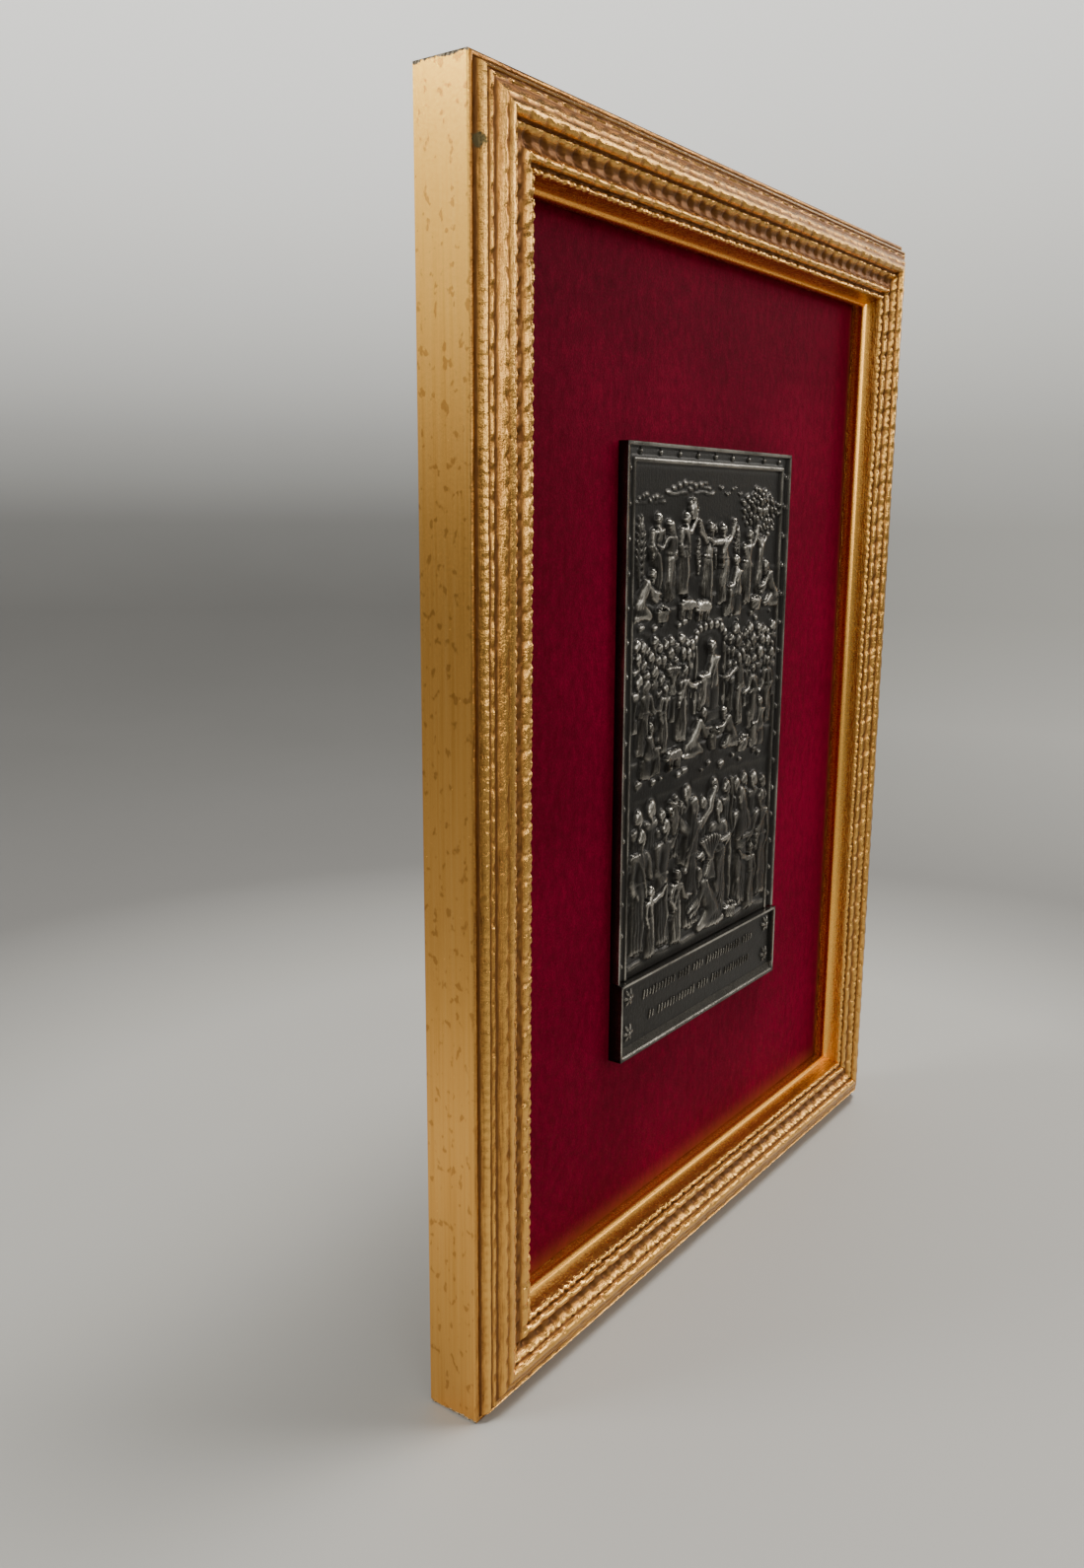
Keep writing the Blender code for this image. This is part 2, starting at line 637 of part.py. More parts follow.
def jar(relief, x, z, size, base):
    """A two-handled jar."""
    spot = figure_places(x, z, size, 1)
    relief.limb(spot(0.0, 0.12), spot(0.0, 0.48), 0.13 * size, 0.27 * size, 0.72)
    relief.limb(spot(0.0, 0.55), spot(0.0, 0.90), 0.20 * size, 0.10 * size, 0.66)
    relief.limb(spot(-0.10, 0.95), spot(0.10, 0.95), 0.05 * size, 0.05 * size, 0.66)
    for side in (-1, 1):
        handle = spot(0.24 * side, 0.82)
        relief.limb(spot(0.24 * side, 0.62), handle, 0.04 * size, 0.04 * size, 0.46)
        relief.limb(handle, spot(0.08 * side, 0.90), 0.04 * size, 0.04 * size, 0.46)
    relief.lay(base)


def basket(relief, x, z, size, base):
    """A round basket heaped with fruit."""
    spot = figure_places(x, z, size, 1)
    for k in range(-2, 3):
        fruit = spot(0.16 * k, 0.60 - 0.05 * abs(k))
        relief.limb(fruit, fruit, 0.12 * size, 0.12 * size, 0.66)
        relief.lay(base)
    relief.cloth(spot(0.0, 0.45), (x, z), 0.46 * size, 0.32 * size, 0.62, 11, 0.0, 0.35)
    relief.limb(spot(-0.42, 0.44), spot(0.42, 0.44), 0.05 * size, 0.05 * size, 0.70)
    relief.lay(base)


def sheep(relief, x, z, size, look, base):
    """A grazing sheep: a curly fleece on four short legs, the head held low."""
    spot = figure_places(x, z, size, look)
    for share in (-0.27, -0.16, 0.14, 0.25):
        relief.limb(spot(share, 0.0), spot(share, 0.28), 0.030 * size, 0.05 * size, 0.40)
    relief.limb(spot(-0.20, 0.42), spot(0.20, 0.44), 0.18 * size, 0.17 * size, 0.70)
    for k in range(9):
        tuft = spot(0.30 * math.cos(2.4 * k), 0.43 + 0.10 * math.sin(2.4 * k))
        relief.limb(tuft, tuft, 0.085 * size, 0.085 * size, 0.66)
    relief.limb(spot(0.30, 0.48), spot(0.47, 0.33), 0.085 * size, 0.05 * size, 0.80)
    relief.lay(base)


def ledge(relief, level, wave, slant, turns, lift, half):
    """A bank of ground: everything below a waving line stands higher, with a soft edge."""
    line = level + wave * np.sin(turns * math.pi * relief.x / half + 0.7) + slant * relief.x / half
    bank = soft_step(line - relief.z, 0.7 * relief.rise)
    fade = soft_step(relief.z - (level - 5 * relief.rise), 5 * relief.rise)
    relief.height = np.maximum(relief.height, lift * relief.rise * bank * fade)


def stones(relief, left, right, z, size, count, base):
    """Low stones and tufts along a stretch of ground."""
    for k in range(count):
        x = left + (right - left) * (k + 0.5 + 0.3 * math.sin(2.7 * k)) / count
        wide = size * (0.8 + 0.4 * math.sin(1.9 * k + 1))
        spot = figure_places(x, z + 0.25 * size * math.sin(3.3 * k), wide, 1)
        relief.limb(spot(-0.22, 0.0), spot(0.22, 0.1), 0.30 * wide, 0.22 * wide, 0.30)
        relief.lay(base)


def clouds(relief, left, right, z, size):
    """A low bank of cloud: rounded puffs over long thin bars."""
    for k in range(3):
        shift = (right - left) * 0.12 * k
        level = z + 0.75 * size * k
        end = (right - 0.7 * shift, level + 0.2 * size)
        relief.limb((left + shift, level), end, 0.34 * size, 0.22 * size, 0.22)
        relief.lay(0.0)
    for k in range(5):
        x, level = left + (right - left) * (0.25 + 0.11 * k), z + size * (1.1 + 0.5 * math.sin(2.2 * k))
        relief.limb((x, level), (x + 0.8 * size, level), 0.45 * size, 0.35 * size, 0.22)
        relief.lay(0.0)


def bird(relief, x, z, size):
    """Two wings spread from one point."""
    for side in (-1, 1):
        relief.limb((x, z), (x + 0.5 * side * size, z + 0.22 * size), 0.08 * size, 0.05 * size, 0.30)
    relief.lay(0.0)


def staff(relief, foot, tip, radius, lift):
    """A straight pole."""
    relief.limb(foot, tip, radius, radius, lift)
    relief.lay(0.12)


def upper_register(relief, half, tall):
    """Gatherers on a hillside, dancers in the middle and a fruit tree on the right."""
    clouds(relief, -0.60 * half, 0.02 * half, 0.945 * tall, 0.012 * tall)
    clouds(relief, -0.97 * half, -0.62 * half, 0.925 * tall, 0.009 * tall)
    for k in range(4):
        bird(relief, (0.12 + 0.09 * k) * half, (0.955 - 0.010 * (k % 2)) * tall, 0.018 * tall)
    ledge(relief, 0.800 * tall, 0.012 * tall, 0.010 * tall, 1.2, 0.10, half)
    for k, x in enumerate((-0.18, 0.05, 0.36)):
        cypress(relief, x * half, (0.785 + 0.01 * (k % 2)) * tall, (0.085 + 0.01 * k) * tall, 0.0)
    ledge(relief, 0.742 * tall, 0.010 * tall, 0.004 * tall, 1.6, 0.20, half)
    tree(relief, 0.70 * half, 0.735 * tall, 0.230 * tall, 0.30 * half, 60, 0.06)
    cypress(relief, -0.91 * half, 0.745 * tall, 0.165 * tall, 0.0)
    size = 0.165 * tall
    people = (
        (-0.72, 0.744, 1.00, 1, ((-0.2, 0.9), (0.3, 2.2)), dict(lean=0.01, over=1)),
        (-0.55, 0.738, 0.95, -1, ((-0.8, -1.9), (0.1, -0.9)), dict(lean=-0.02, veil=True)),
        (-0.38, 0.744, 1.00, 1, ((-0.3, 0.6), (2.5, 2.9)), dict(lean=0.03, over=-1)),
        (-0.06, 0.724, 1.02, 1, ((-2.2, -2.7), (1.5, 1.9)), dict(lean=0.05, folds=7)),
        (0.18, 0.722, 1.00, -1, ((-1.6, -1.9), (2.4, 2.8)), dict(lean=-0.05, folds=7, over=1)),
        (0.50, 0.718, 0.95, 1, ((0.3, 0.8), (2.6, 2.9)), dict(lean=0.05)),
    )
    for x, z, share, look, arms, manner in people:
        standing(relief, x * half, z * tall, share * size, look, arms, **manner)
    jar(relief, -0.285 * half, 0.895 * tall, 0.045 * tall, 0.25)
    kneeling(relief, 0.87 * half, 0.706 * tall, 0.95 * size, -1, 0.9, veil=True)
    basket(relief, 0.66 * half, 0.702 * tall, 0.050 * tall, 0.22)
    kneeling(relief, -0.86 * half, 0.704 * tall, 0.95 * size, 1, 1.0)
    basket(relief, -0.63 * half, 0.698 * tall, 0.048 * tall, 0.22)
    seated(relief, 0.33 * half, 0.696 * tall, 0.98 * size, -1)
    sheep(relief, -0.33 * half, 0.700 * tall, 0.068 * tall, 1, 0.22)
    sheep(relief, -0.10 * half, 0.692 * tall, 0.070 * tall, -1, 0.26)
    stones(relief, -0.95 * half, 0.95 * half, 0.690 * tall, 0.022 * tall, 13, 0.10)


def middle_crowd(relief, half, tall, size):
    """Three rows of onlookers on each side, nearer and larger from row to row."""
    rows = ((0.632, 0.90, 11, 10, 0.02), (0.604, 1.00, 9, 9, 0.10), (0.572, 1.08, 7, 7, 0.18))
    for k, (level, share, on_left, on_right, base) in enumerate(rows):
        left_end, right_end = (-0.20 - 0.05 * k) * half, (0.28 + 0.02 * k) * half
        onlookers(relief, -0.97 * half, left_end, level * tall, share * size, on_left, base)
        onlookers(relief, right_end, 0.98 * half, (level + 0.002) * tall, share * size, on_right, base)


def garlanded_seat(relief, half, tall, size):
    """An elder on three steps, between two poles that carry a garland."""
    x = 0.02 * half
    for k in range(3):
        step_half = (0.27 - 0.05 * k) * half
        top, foot = (0.478 + 0.016 * k) * tall, (0.450 + 0.016 * k) * tall
        relief.cloth((x, top), (x, foot), step_half, step_half, 0.40 + 0.08 * k, 0, 0.0)
        relief.lay(0.08)
    for side in (-1, 1):
        pole = x + 0.20 * side * half
        staff(relief, (pole, 0.505 * tall), (pole, 0.655 * tall), 0.0050 * tall, 0.40)
    for k in range(9):
        turn = math.pi * k / 8
        place = (x + 0.21 * half * math.cos(turn), (0.655 + 0.028 * math.sin(turn)) * tall)
        relief.limb(place, place, 0.010 * tall, 0.010 * tall, 0.44)
        relief.lay(0.06)
    seated(relief, x, 0.505 * tall, 1.50 * size, -1, base=0.20)


def middle_register(relief, half, tall):
    """A crowd in rows round an elder on a stepped seat, with people sitting and bringing gifts."""
    ledge(relief, 0.676 * tall, 0.006 * tall, -0.004 * tall, 2.1, 0.10, half)
    size = 0.125 * tall
    middle_crowd(relief, half, tall, size)
    garlanded_seat(relief, half, tall, size)
    people = (
        (-0.37, 0.452, 1.26, 1, ((0.1, 0.9), (1.2, 1.7)), dict(lean=0.03, over=1)),
        (0.43, 0.456, 1.28, -1, ((-1.2, -1.6), (-0.1, -1.0)), dict(lean=-0.03, veil=True)),
        (-0.85, 0.440, 1.22, 1, ((0.4, 1.2), (0.3, 1.3)), dict(lean=0.04, veil=True)),
        (-0.61, 0.436, 1.15, 1, ((-0.2, 0.4), (2.5, 2.8)), dict(lean=0.02)),
        (0.67, 0.440, 1.18, -1, ((-0.5, -1.4), (-0.3, -1.2)), dict(lean=-0.04, over=-1)),
        (0.88, 0.444, 1.24, -1, ((-0.3, -0.9), (0.2, -0.8)), dict(lean=-0.02)),
    )
    for x, z, share, look, arms, manner in people:
        standing(relief, x * half, z * tall, share * size, look, arms, base=0.18, **manner)
    sheaf(relief, -0.50 * half, 0.555 * tall, 0.055 * tall, 0.30)
    ledge(relief, 0.442 * tall, 0.006 * tall, 0.006 * tall, 1.3, 0.26, half)
    kneeling(relief, -0.15 * half, 0.414 * tall, 1.22 * size, 1, 1.1, base=0.22, veil=True)
    kneeling(relief, 0.30 * half, 0.412 * tall, 1.18 * size, -1, 1.1, base=0.22)
    jar(relief, 0.075 * half, 0.416 * tall, 0.050 * tall, 0.28)
    seated(relief, -0.76 * half, 0.396 * tall, 1.16 * size, 1, base=0.24)
    sheep(relief, -0.45 * half, 0.400 * tall, 0.072 * tall, -1, 0.26)
    seated(relief, 0.76 * half, 0.398 * tall, 1.14 * size, -1, base=0.24, veil=True)
    basket(relief, 0.53 * half, 0.398 * tall, 0.054 * tall, 0.26)
    stones(relief, -0.95 * half, 0.95 * half, 0.385 * tall, 0.024 * tall, 12, 0.12)


def lower_register(relief, half, tall):
    """A procession of large robed figures with children, jars and sheaves."""
    ledge(relief, 0.368 * tall, 0.004 * tall, 0.004 * tall, 1.0, 0.12, half)
    size = 0.272 * tall
    for k, (x, count) in enumerate(((-0.72, 3), (-0.33, 2), (0.06, 2), (0.40, 2), (0.74, 3))):
        left, right = (x - 0.075 * count) * half, (x + 0.075 * count) * half
        onlookers(relief, left, right, (0.292 + 0.008 * (k % 2)) * tall, 0.58 * size, count, 0.0)
    foot = 0.036 * tall
    people = (
        (-0.87, 0.000, 0.97, 1, ((-0.2, 0.5), (0.4, 1.5)), dict(lean=0.02, base=0.12, folds=7, over=-1)),
        (-0.57, -0.004, 1.01, 1, ((-0.1, 0.9), (2.5, 2.9)), dict(lean=0.02, base=0.14, folds=8)),
        (-0.16, 0.004, 1.06, 1, ((-2.2, -2.6), (2.2, 2.7)), dict(base=0.14, folds=8, veil=True, over=1)),
        (0.22, -0.002, 1.00, -1, ((-0.5, -1.3), (0.2, -0.9)), dict(lean=-0.02, base=0.14, folds=7)),
        (0.56, 0.000, 1.03, -1, ((-0.5, -1.6), (0.4, 0.2)), dict(lean=-0.02, base=0.14, folds=8, veil=True)),
        (0.87, 0.002, 0.95, -1, ((-0.5, -1.5), (0.3, -0.5)), dict(lean=-0.01, base=0.12, folds=7, over=1)),
    )
    for x, z, share, look, arms, manner in people:
        standing(relief, x * half, foot + z * tall, share * size, look, arms, **manner)
    jar(relief, -0.435 * half, 0.262 * tall, 0.070 * tall, 0.34)
    sheaf(relief, 0.085 * half, 0.135 * tall, 0.095 * tall, 0.36)
    staff(relief, (0.40 * half, foot), (0.40 * half, 0.340 * tall), 0.0050 * tall, 0.46)
    low = 0.022 * tall
    children = (
        (-0.72, 0.56, 1, ((-0.2, 0.4), (1.9, 2.4)), 0),
        (-0.37, 0.60, 1, ((-0.4, 0.7), (0.5, 1.4)), 1),
        (0.71, 0.58, -1, ((-1.9, -2.3), (0.2, -0.4)), 0),
    )
    for x, share, look, arms, over in children:
        standing(relief, x * half, low, share * size, look, arms, base=0.26, folds=5, over=over)
    kneeling(relief, 0.04 * half, low, 0.84 * size, -1, 0.8, base=0.24, veil=True)
    basket(relief, 0.42 * half, low, 0.060 * tall, 0.26)


def relief_field(x, z, half, tall):
    """Height of the figures over the field's ground; x from the middle, z from the field's foot."""
    relief = Relief(x, z, figure_rise)
    for register in (upper_register, middle_register, lower_register):
        register(relief, half, tall)
    ledge(relief, 0.030 * tall, 0.002 * tall, 0.0, 3.0, 0.40, half)
    level = relief.height / figure_rise
    eased = np.where(level > 0.75, 0.75 + 0.30 * np.tanh((level - 0.75) / 0.30), level)
    return figure_rise * np.maximum(eased, -0.30)


def stud_row(along, across, length, pitch, line):
    """Domes on a line across = line, spread evenly along a length."""
    count = max(2, round(length / pitch))
    spacing = length / count
    nearest = (np.clip(np.round(along / spacing - 0.5), 0, count - 1) + 0.5) * spacing
    away = np.hypot(along - nearest, across - line) / stud_radius
    return stud_rise * np.sqrt(np.clip(1 - away ** 2, 0.0, 1.0))


def plaque_height_field(x, z):
    """Thickness of the plaque at x from its middle and z from its lower edge, which has no border."""
    half = plaque_width / 2
    inset = np.minimum(half - np.abs(x), plaque_height - z)
    wall = edge_softness
    thickness = np.full_like(x, plaque_thickness)
    thickness += (channel_thickness - plaque_thickness) * soft_step(inset - rim_width, wall)
    channel_end = rim_width + channel_width
    thickness += (fillet_thickness - channel_thickness) * soft_step(inset - channel_end, wall)
    thickness += (ground_thickness - fillet_thickness) * soft_step(inset - border_width, wall)
    line = rim_width + channel_width / 2
    run_across = plaque_width - 2 * line
    run_down = plaque_height - line
    for side in (-1, 1):
        thickness += stud_row(z, half - side * x, run_down, stud_pitch_down, line)
    thickness += stud_row(x + half - line, plaque_height - z, run_across, stud_pitch_across, line)
    figures = relief_field(x, z, half - border_width, plaque_height - border_width)
    inside = soft_step(inset - border_width, 2 * wall)
    return thickness + figures * inside


def tablet_height_field(x, z):
    """Thickness of the tablet: a thin rim, a slope at its foot, a flat field and four rosettes."""
    half = plaque_width / 2
    inset = np.minimum(half - np.abs(x), np.minimum(z, tablet_height - z))
    thickness = np.full_like(x, tablet_thickness)
    thickness += (tablet_ground - tablet_thickness) * soft_step(inset - tablet_rim, edge_softness)
    up_slope = np.clip((z - tablet_rim) / tablet_slope, 0.0, 1.0)
    slope_top = 0.8 * (tablet_thickness - tablet_ground)
    thickness = np.maximum(thickness, tablet_ground + slope_top * (1 - up_slope))
    for side in (-1, 1):
        for level in (rosette_above_foot, tablet_height - rosette_below_top):
            dx = x - side * (half - rosette_inset)
            dz = z - level
            away = np.hypot(dx, dz)
            lobe = 0.78 + 0.22 * np.cos(rosette_petals * np.arctan2(dz, dx))
            petal = np.sqrt(np.clip(1 - (away / (rosette_radius * lobe)) ** 2, 0.0, 1.0))
            eye = np.sqrt(np.clip(1 - (away / (0.30 * rosette_radius)) ** 2, 0.0, 1.0))
            thickness += rosette_rise * np.maximum(0.7 * petal, eye)
    return thickness


def grid_lines(length, step, breaks):
    """Even steps over a length, with lines added on both sides of each break in the section."""
    count = max(2, round(length / step))
    lines = set(np.round(np.linspace(0.0, length, count + 1), 9))
    for place in breaks:
        for line in (place, place + edge_softness):
            lines.add(round(line, 9))
            lines.add(round(length - line, 9))
    ordered = sorted(lines)
    kept = [ordered[0]]
    for line in ordered[1:-1]:
        if line - kept[-1] > 0.5 * edge_softness and ordered[-1] - line > 0.5 * edge_softness:
            kept.append(line)
    kept.append(ordered[-1])
    return np.array(kept)


def add_casting(name, size, field, breaks, step, triangles, finish, parent):
    """A closed casting: the relief in front, square edges and a flat back, thinned to few faces."""
    width, height = size
    across = grid_lines(width, step, breaks) - width / 2
    upward = grid_lines(height, step, breaks)
    x, z = np.meshgrid(across, upward)
    front = metal_back_y - field(x, z)
    rows, columns = x.shape
    surface = np.stack([x, front, z], axis=-1).reshape(-1, 3)
    loop = [(0, c) for c in range(columns)]
    loop += [(r, columns - 1) for r in range(1, rows)]
    loop += [(rows - 1, c) for c in range(columns - 2, -1, -1)]
    loop += [(r, 0) for r in range(rows - 2, 0, -1)]
    points = surface.tolist()
    back = range(len(points), len(points) + len(loop))
    points += [(x[r, c], metal_back_y, z[r, c]) for r, c in loop]
    faces = []
    for r in range(rows - 1):
        for c in range(columns - 1):
            a = r * columns + c
            faces.append((a, a + 1, a + columns + 1, a + columns))
    for k, (r, c) in enumerate(loop):
        after = (k + 1) % len(loop)
        r_after, c_after = loop[after]
        faces.append((r * columns + c, back[k], back[after], r_after * columns + c_after))
    faces.append(list(back))
    casting = add_object(name, points, faces, finish, parent)
    thin = casting.modifiers.new("fewer faces", "DECIMATE")
    thin.ratio = min(1.0, triangles / (2 * (rows - 1) * (columns - 1)))
    return casting


def build():
    clear_scene()
    gilt = material("gilt_wood", (0.62, 0.38, 0.13), 0.38, 0.75)
    crimson = material("crimson_velvet", (0.30, 0.01, 0.035), 0.95, 0.0)
    silver = material("oxidised_silver", (0.20, 0.20, 0.18), 0.42, 0.9)
    board = material("wooden_board", (0.45, 0.31, 0.19), 0.8, 0.0)
    steel = material("steel", (0.42, 0.42, 0.43), 0.4, 0.9)
    brass = material("brass", (0.62, 0.47, 0.22), 0.35, 0.9)

    centre = bpy.data.objects.new("frame_centre", None)
    bpy.context.scene.collection.objects.link(centre)
    centre.location = (0.0, 0.0, frame_centre_z)

    add_rail("frame_rail_bottom", frame_width, 0.0, (0.0, 0.0, -half_height), gilt, centre)
    add_rail("frame_rail_right", frame_height, -math.pi / 2, (half_width, 0.0, 0.0), gilt, centre)
    add_rail("frame_rail_left", frame_height, math.pi / 2, (-half_width, 0.0, 0.0), gilt, centre)
    top = add_rail("frame_rail_top", frame_width, math.pi, (0.0, 0.0, half_height), gilt, centre)
    cut_hanger_pocket(top, centre)

    velvet_y = velvet_front_y + velvet_thickness / 2
    add_plate("velvet", (0.0, velvet_y, 0.0), (panel_width, velvet_thickness, panel_height), 0.0, crimson,
              centre)
    board_y = (board_front_y + board_back_y) / 2
    add_plate("panel_board", (0.0, board_y, 0.0), (panel_width, board_thickness, panel_height), board_bevel,
              board, centre)
    add_pins(steel, centre)
    add_hanger(brass, centre)
    foot_middle = (strip_width - strip_foot) / 2
    add_brad("hanger_brad_left", -foot_middle, brass, centre)
    add_brad("hanger_brad_right", foot_middle, brass, centre)

    plaque_breaks = (rim_width, rim_width + channel_width, border_width)
    plaque = add_casting("relief_plaque", (plaque_width, plaque_height), plaque_height_field, plaque_breaks,
                         relief_step, plaque_triangles, silver, None)
    plaque.location = (0.0, 0.0, plaque_bottom_z)
    tablet = add_casting("inscription_tablet", (plaque_width, tablet_height), tablet_height_field,
                         (tablet_rim, tablet_rim + tablet_slope), tablet_step, tablet_triangles, silver,
                         None)
    tablet.location = (0.0, 0.0, tablet_bottom_z)


build()
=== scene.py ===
# %% [markdown]
# # A cast relief plaque on crimson velvet, in a gilt ripple frame
#
# The object hangs on a wall: four mitred rails of one gilded moulding, a board dressed in velvet, and on it
# two castings of dark, rubbed silver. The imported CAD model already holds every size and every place. This
# lesson loads it as a fixed frame and builds the looks round it: the ripples that were cut into the gesso,
# the pile of the velvet, and the small figures of the relief.
#
# Everything is in metres. The wall is the plane y = 0, the front faces -Y, and the origin is on the back of
# the top rail.

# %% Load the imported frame
import math

import bpy
import numpy as np
from mathutils import Matrix, Vector


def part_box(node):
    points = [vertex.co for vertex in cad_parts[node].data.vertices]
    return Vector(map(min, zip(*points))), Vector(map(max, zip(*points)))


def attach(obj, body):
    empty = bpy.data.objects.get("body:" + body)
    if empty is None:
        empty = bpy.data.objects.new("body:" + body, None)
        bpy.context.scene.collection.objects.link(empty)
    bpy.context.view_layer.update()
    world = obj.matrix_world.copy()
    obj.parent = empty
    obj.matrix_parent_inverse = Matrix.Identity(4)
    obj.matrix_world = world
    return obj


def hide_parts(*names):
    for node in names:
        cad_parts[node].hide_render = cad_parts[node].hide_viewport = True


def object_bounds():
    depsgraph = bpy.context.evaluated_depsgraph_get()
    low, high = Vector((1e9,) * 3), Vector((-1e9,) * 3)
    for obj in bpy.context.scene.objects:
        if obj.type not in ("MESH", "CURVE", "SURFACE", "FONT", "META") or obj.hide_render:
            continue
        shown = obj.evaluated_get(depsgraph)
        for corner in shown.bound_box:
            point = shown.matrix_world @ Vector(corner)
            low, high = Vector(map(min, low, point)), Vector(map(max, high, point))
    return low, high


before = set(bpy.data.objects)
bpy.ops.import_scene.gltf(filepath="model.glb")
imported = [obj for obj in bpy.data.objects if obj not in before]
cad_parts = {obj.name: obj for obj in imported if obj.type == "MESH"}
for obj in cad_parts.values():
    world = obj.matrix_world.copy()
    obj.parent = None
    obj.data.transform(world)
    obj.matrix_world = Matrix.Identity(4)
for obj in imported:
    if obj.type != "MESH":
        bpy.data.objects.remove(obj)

cad_low, cad_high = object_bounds()
MM = 0.001
print("CAD box in mm:", [round(v / MM, 1) for v in (*cad_low, *cad_high)])
print("CAD nodes:", sorted(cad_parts))

# %% [markdown]
# ## The camera
#
# The picture that this model follows was taken from close by, low and well to the left, so the left side of
# the frame shows in full and the plaque is foreshortened. A camera is a place, a direction and a lens. The
# direction is easiest to keep as three angles: yaw round the vertical, pitch up or down, and roll. The three
# axes of the camera follow from them, and they are the columns of its matrix.

# %% Set the camera
camera_place = Vector((-0.3416, -0.1964, -0.0899))
camera_yaw = math.radians(53.897)
camera_pitch = math.radians(-11.795)
camera_roll = math.radians(0.3195)
picture_height = 1590
focal_pixels = 1298.1
sensor_long_side = 36.0


def add_object(name, data):
    """A new object for the data, linked to the scene."""
    made = bpy.data.objects.new(name, data)
    bpy.context.scene.collection.objects.link(made)
    return made


forward = Vector((
    math.sin(camera_yaw) * math.cos(camera_pitch),
    math.cos(camera_yaw) * math.cos(camera_pitch),
    math.sin(camera_pitch),
))
right = Vector((math.cos(camera_yaw), -math.sin(camera_yaw), 0.0))
up = right.cross(forward)
level = Matrix((right, up, -forward)).transposed()
camera_data = bpy.data.cameras.new("camera")
camera_data.sensor_width = sensor_long_side
camera_data.lens = sensor_long_side * focal_pixels / picture_height
camera_data.clip_start = 0.01
camera = add_object("camera", camera_data)
turned = level @ Matrix.Rotation(camera_roll, 3, "Z")
camera.matrix_world = Matrix.Translation(camera_place) @ turned.to_4x4()
bpy.context.scene.camera = camera
print(f"lens {camera_data.lens:.1f} mm, {camera_place.length / MM:.0f} mm from the mount")

# %% [markdown]
# ## Floor and light
#
# Gilding and silver show mostly what is round them, so the surroundings are part of their look. A pale floor
# that curves up far away, like a photographer's paper sweep, leaves no horizon line. It is a surface of
# revolution: the radius grows with one parameter, the angle with the other, and the height stays at nought
# until the bend and then rises as a quarter circle. Wide area lights give soft shadows and long, soft
# highlights, and a dim world fills what they leave dark.

# %% Lay the floor
floor_radius = 0.9
bend_radius = 1.9


def sweep_height(radius):
    """Nought out to the floor's radius, then a quarter circle upwards."""
    into_bend = np.clip((radius - floor_radius) / bend_radius, 0.0, 1.0)
    return bend_radius * (1 - np.sqrt(1 - into_bend ** 2))


bend = floor_radius + bend_radius * np.sin(np.linspace(0.05, 0.5 * math.pi, 28))
rings = np.concatenate([np.linspace(0.02, floor_radius, 16), bend])
around = np.linspace(0.0, math.tau, 96, endpoint=False)
ring, angle = np.meshgrid(rings, around, indexing="ij")
floor_level = cad_low.z - 0.2 * MM
floor_height = floor_level + sweep_height(ring)
floor_points = np.stack([ring * np.cos(angle), ring * np.sin(angle), floor_height], axis=-1)
steps = np.arange(ring.size).reshape(ring.shape)
after = np.roll(steps, -1, axis=1)
floor_quads = np.stack([steps[:-1], steps[1:], after[1:], after[:-1]], axis=-1).reshape(-1, 4)
floor_mesh = bpy.data.meshes.new("floor")
floor_faces = [*floor_quads.tolist(), steps[0].tolist()]
floor_mesh.from_pydata(floor_points.reshape(-1, 3).tolist(), [], floor_faces)
floor_mesh.shade_smooth()
floor = add_object("floor", floor_mesh)
print(f"floor at {floor_level / MM:.1f} mm, {len(floor_faces)} faces")

# %% Light the scene


def add_light(name, place, aim, size, power, colour):
    """A square area light at a place, turned to face its aim."""
    data = bpy.data.lights.new(name, "AREA")
    data.shape = "SQUARE"
    data.size = size
    data.energy = power
    data.color = colour
    light = add_object(name, data)
    light.location = place
    light.rotation_euler = (Vector(aim) - Vector(place)).to_track_quat("-Z", "Y").to_euler()
    print(f"light {name}: {power} W, {size} m wide")


middle = (cad_low + cad_high) / 2
add_light("overhead light", (0.25, -0.25, 1.05), middle, 0.36, 18.0, (1.0, 0.97, 0.93))
add_light("light behind left", (-0.95, 0.75, 0.70), middle, 0.5, 9.0, (1.0, 0.98, 0.96))
add_light("light from the right", (1.10, -0.90, 0.45), middle, 0.5, 6.0, (1.0, 0.95, 0.90))
add_light("light from the front left", (-0.80, -1.15, 0.10), middle, 0.45, 3.0, (1.0, 0.96, 0.90))

world = bpy.data.worlds.new("soft world")
bpy.context.scene.world = world
world.use_nodes = True
background = world.node_tree.nodes["Background"]
background.inputs["Color"].default_value = (0.90, 0.90, 0.88, 1.0)
background.inputs["Strength"].default_value = 0.22
print("world strength", background.inputs["Strength"].default_value)

# %% [markdown]
# ## Meshes from arrays
#
# Each new piece below is a closed body made of whole arrays: one array of points and one of faces. Two
# helpers do what all of them need. The first turns a grid of points into quads. The second makes the object,
# and uses the signed volume, the sum over all triangles of a . (b x c) / 6, to see whether the faces point
# outwards. If the sum is negative, they point inwards and are turned round.

# %% Helpers for closed pieces


def grid_quads(rows, columns):
    """The quads of a grid of points stored row by row: a point, the next one, and the two above them."""
    first = (np.arange(rows - 1)[:, None] * columns + np.arange(columns - 1)).ravel()
    return np.stack([first, first + 1, first + columns + 1, first + columns], axis=1)


def signed_volume(mesh):
    """A sixth of the sum of a . (b x c) over the triangles, positive if they face outwards."""
    mesh.calc_loop_triangles()
    corners = np.empty(3 * len(mesh.loop_triangles), np.int32)
    mesh.loop_triangles.foreach_get("vertices", corners)
    place = np.empty(3 * len(mesh.vertices), np.float32)
    mesh.vertices.foreach_get("co", place)
    a, b, c = place.reshape(-1, 3)[corners.reshape(-1, 3)].astype(float).transpose(1, 0, 2)
    return float(np.einsum("ij,ij->", a, np.cross(b, c)) / 6)


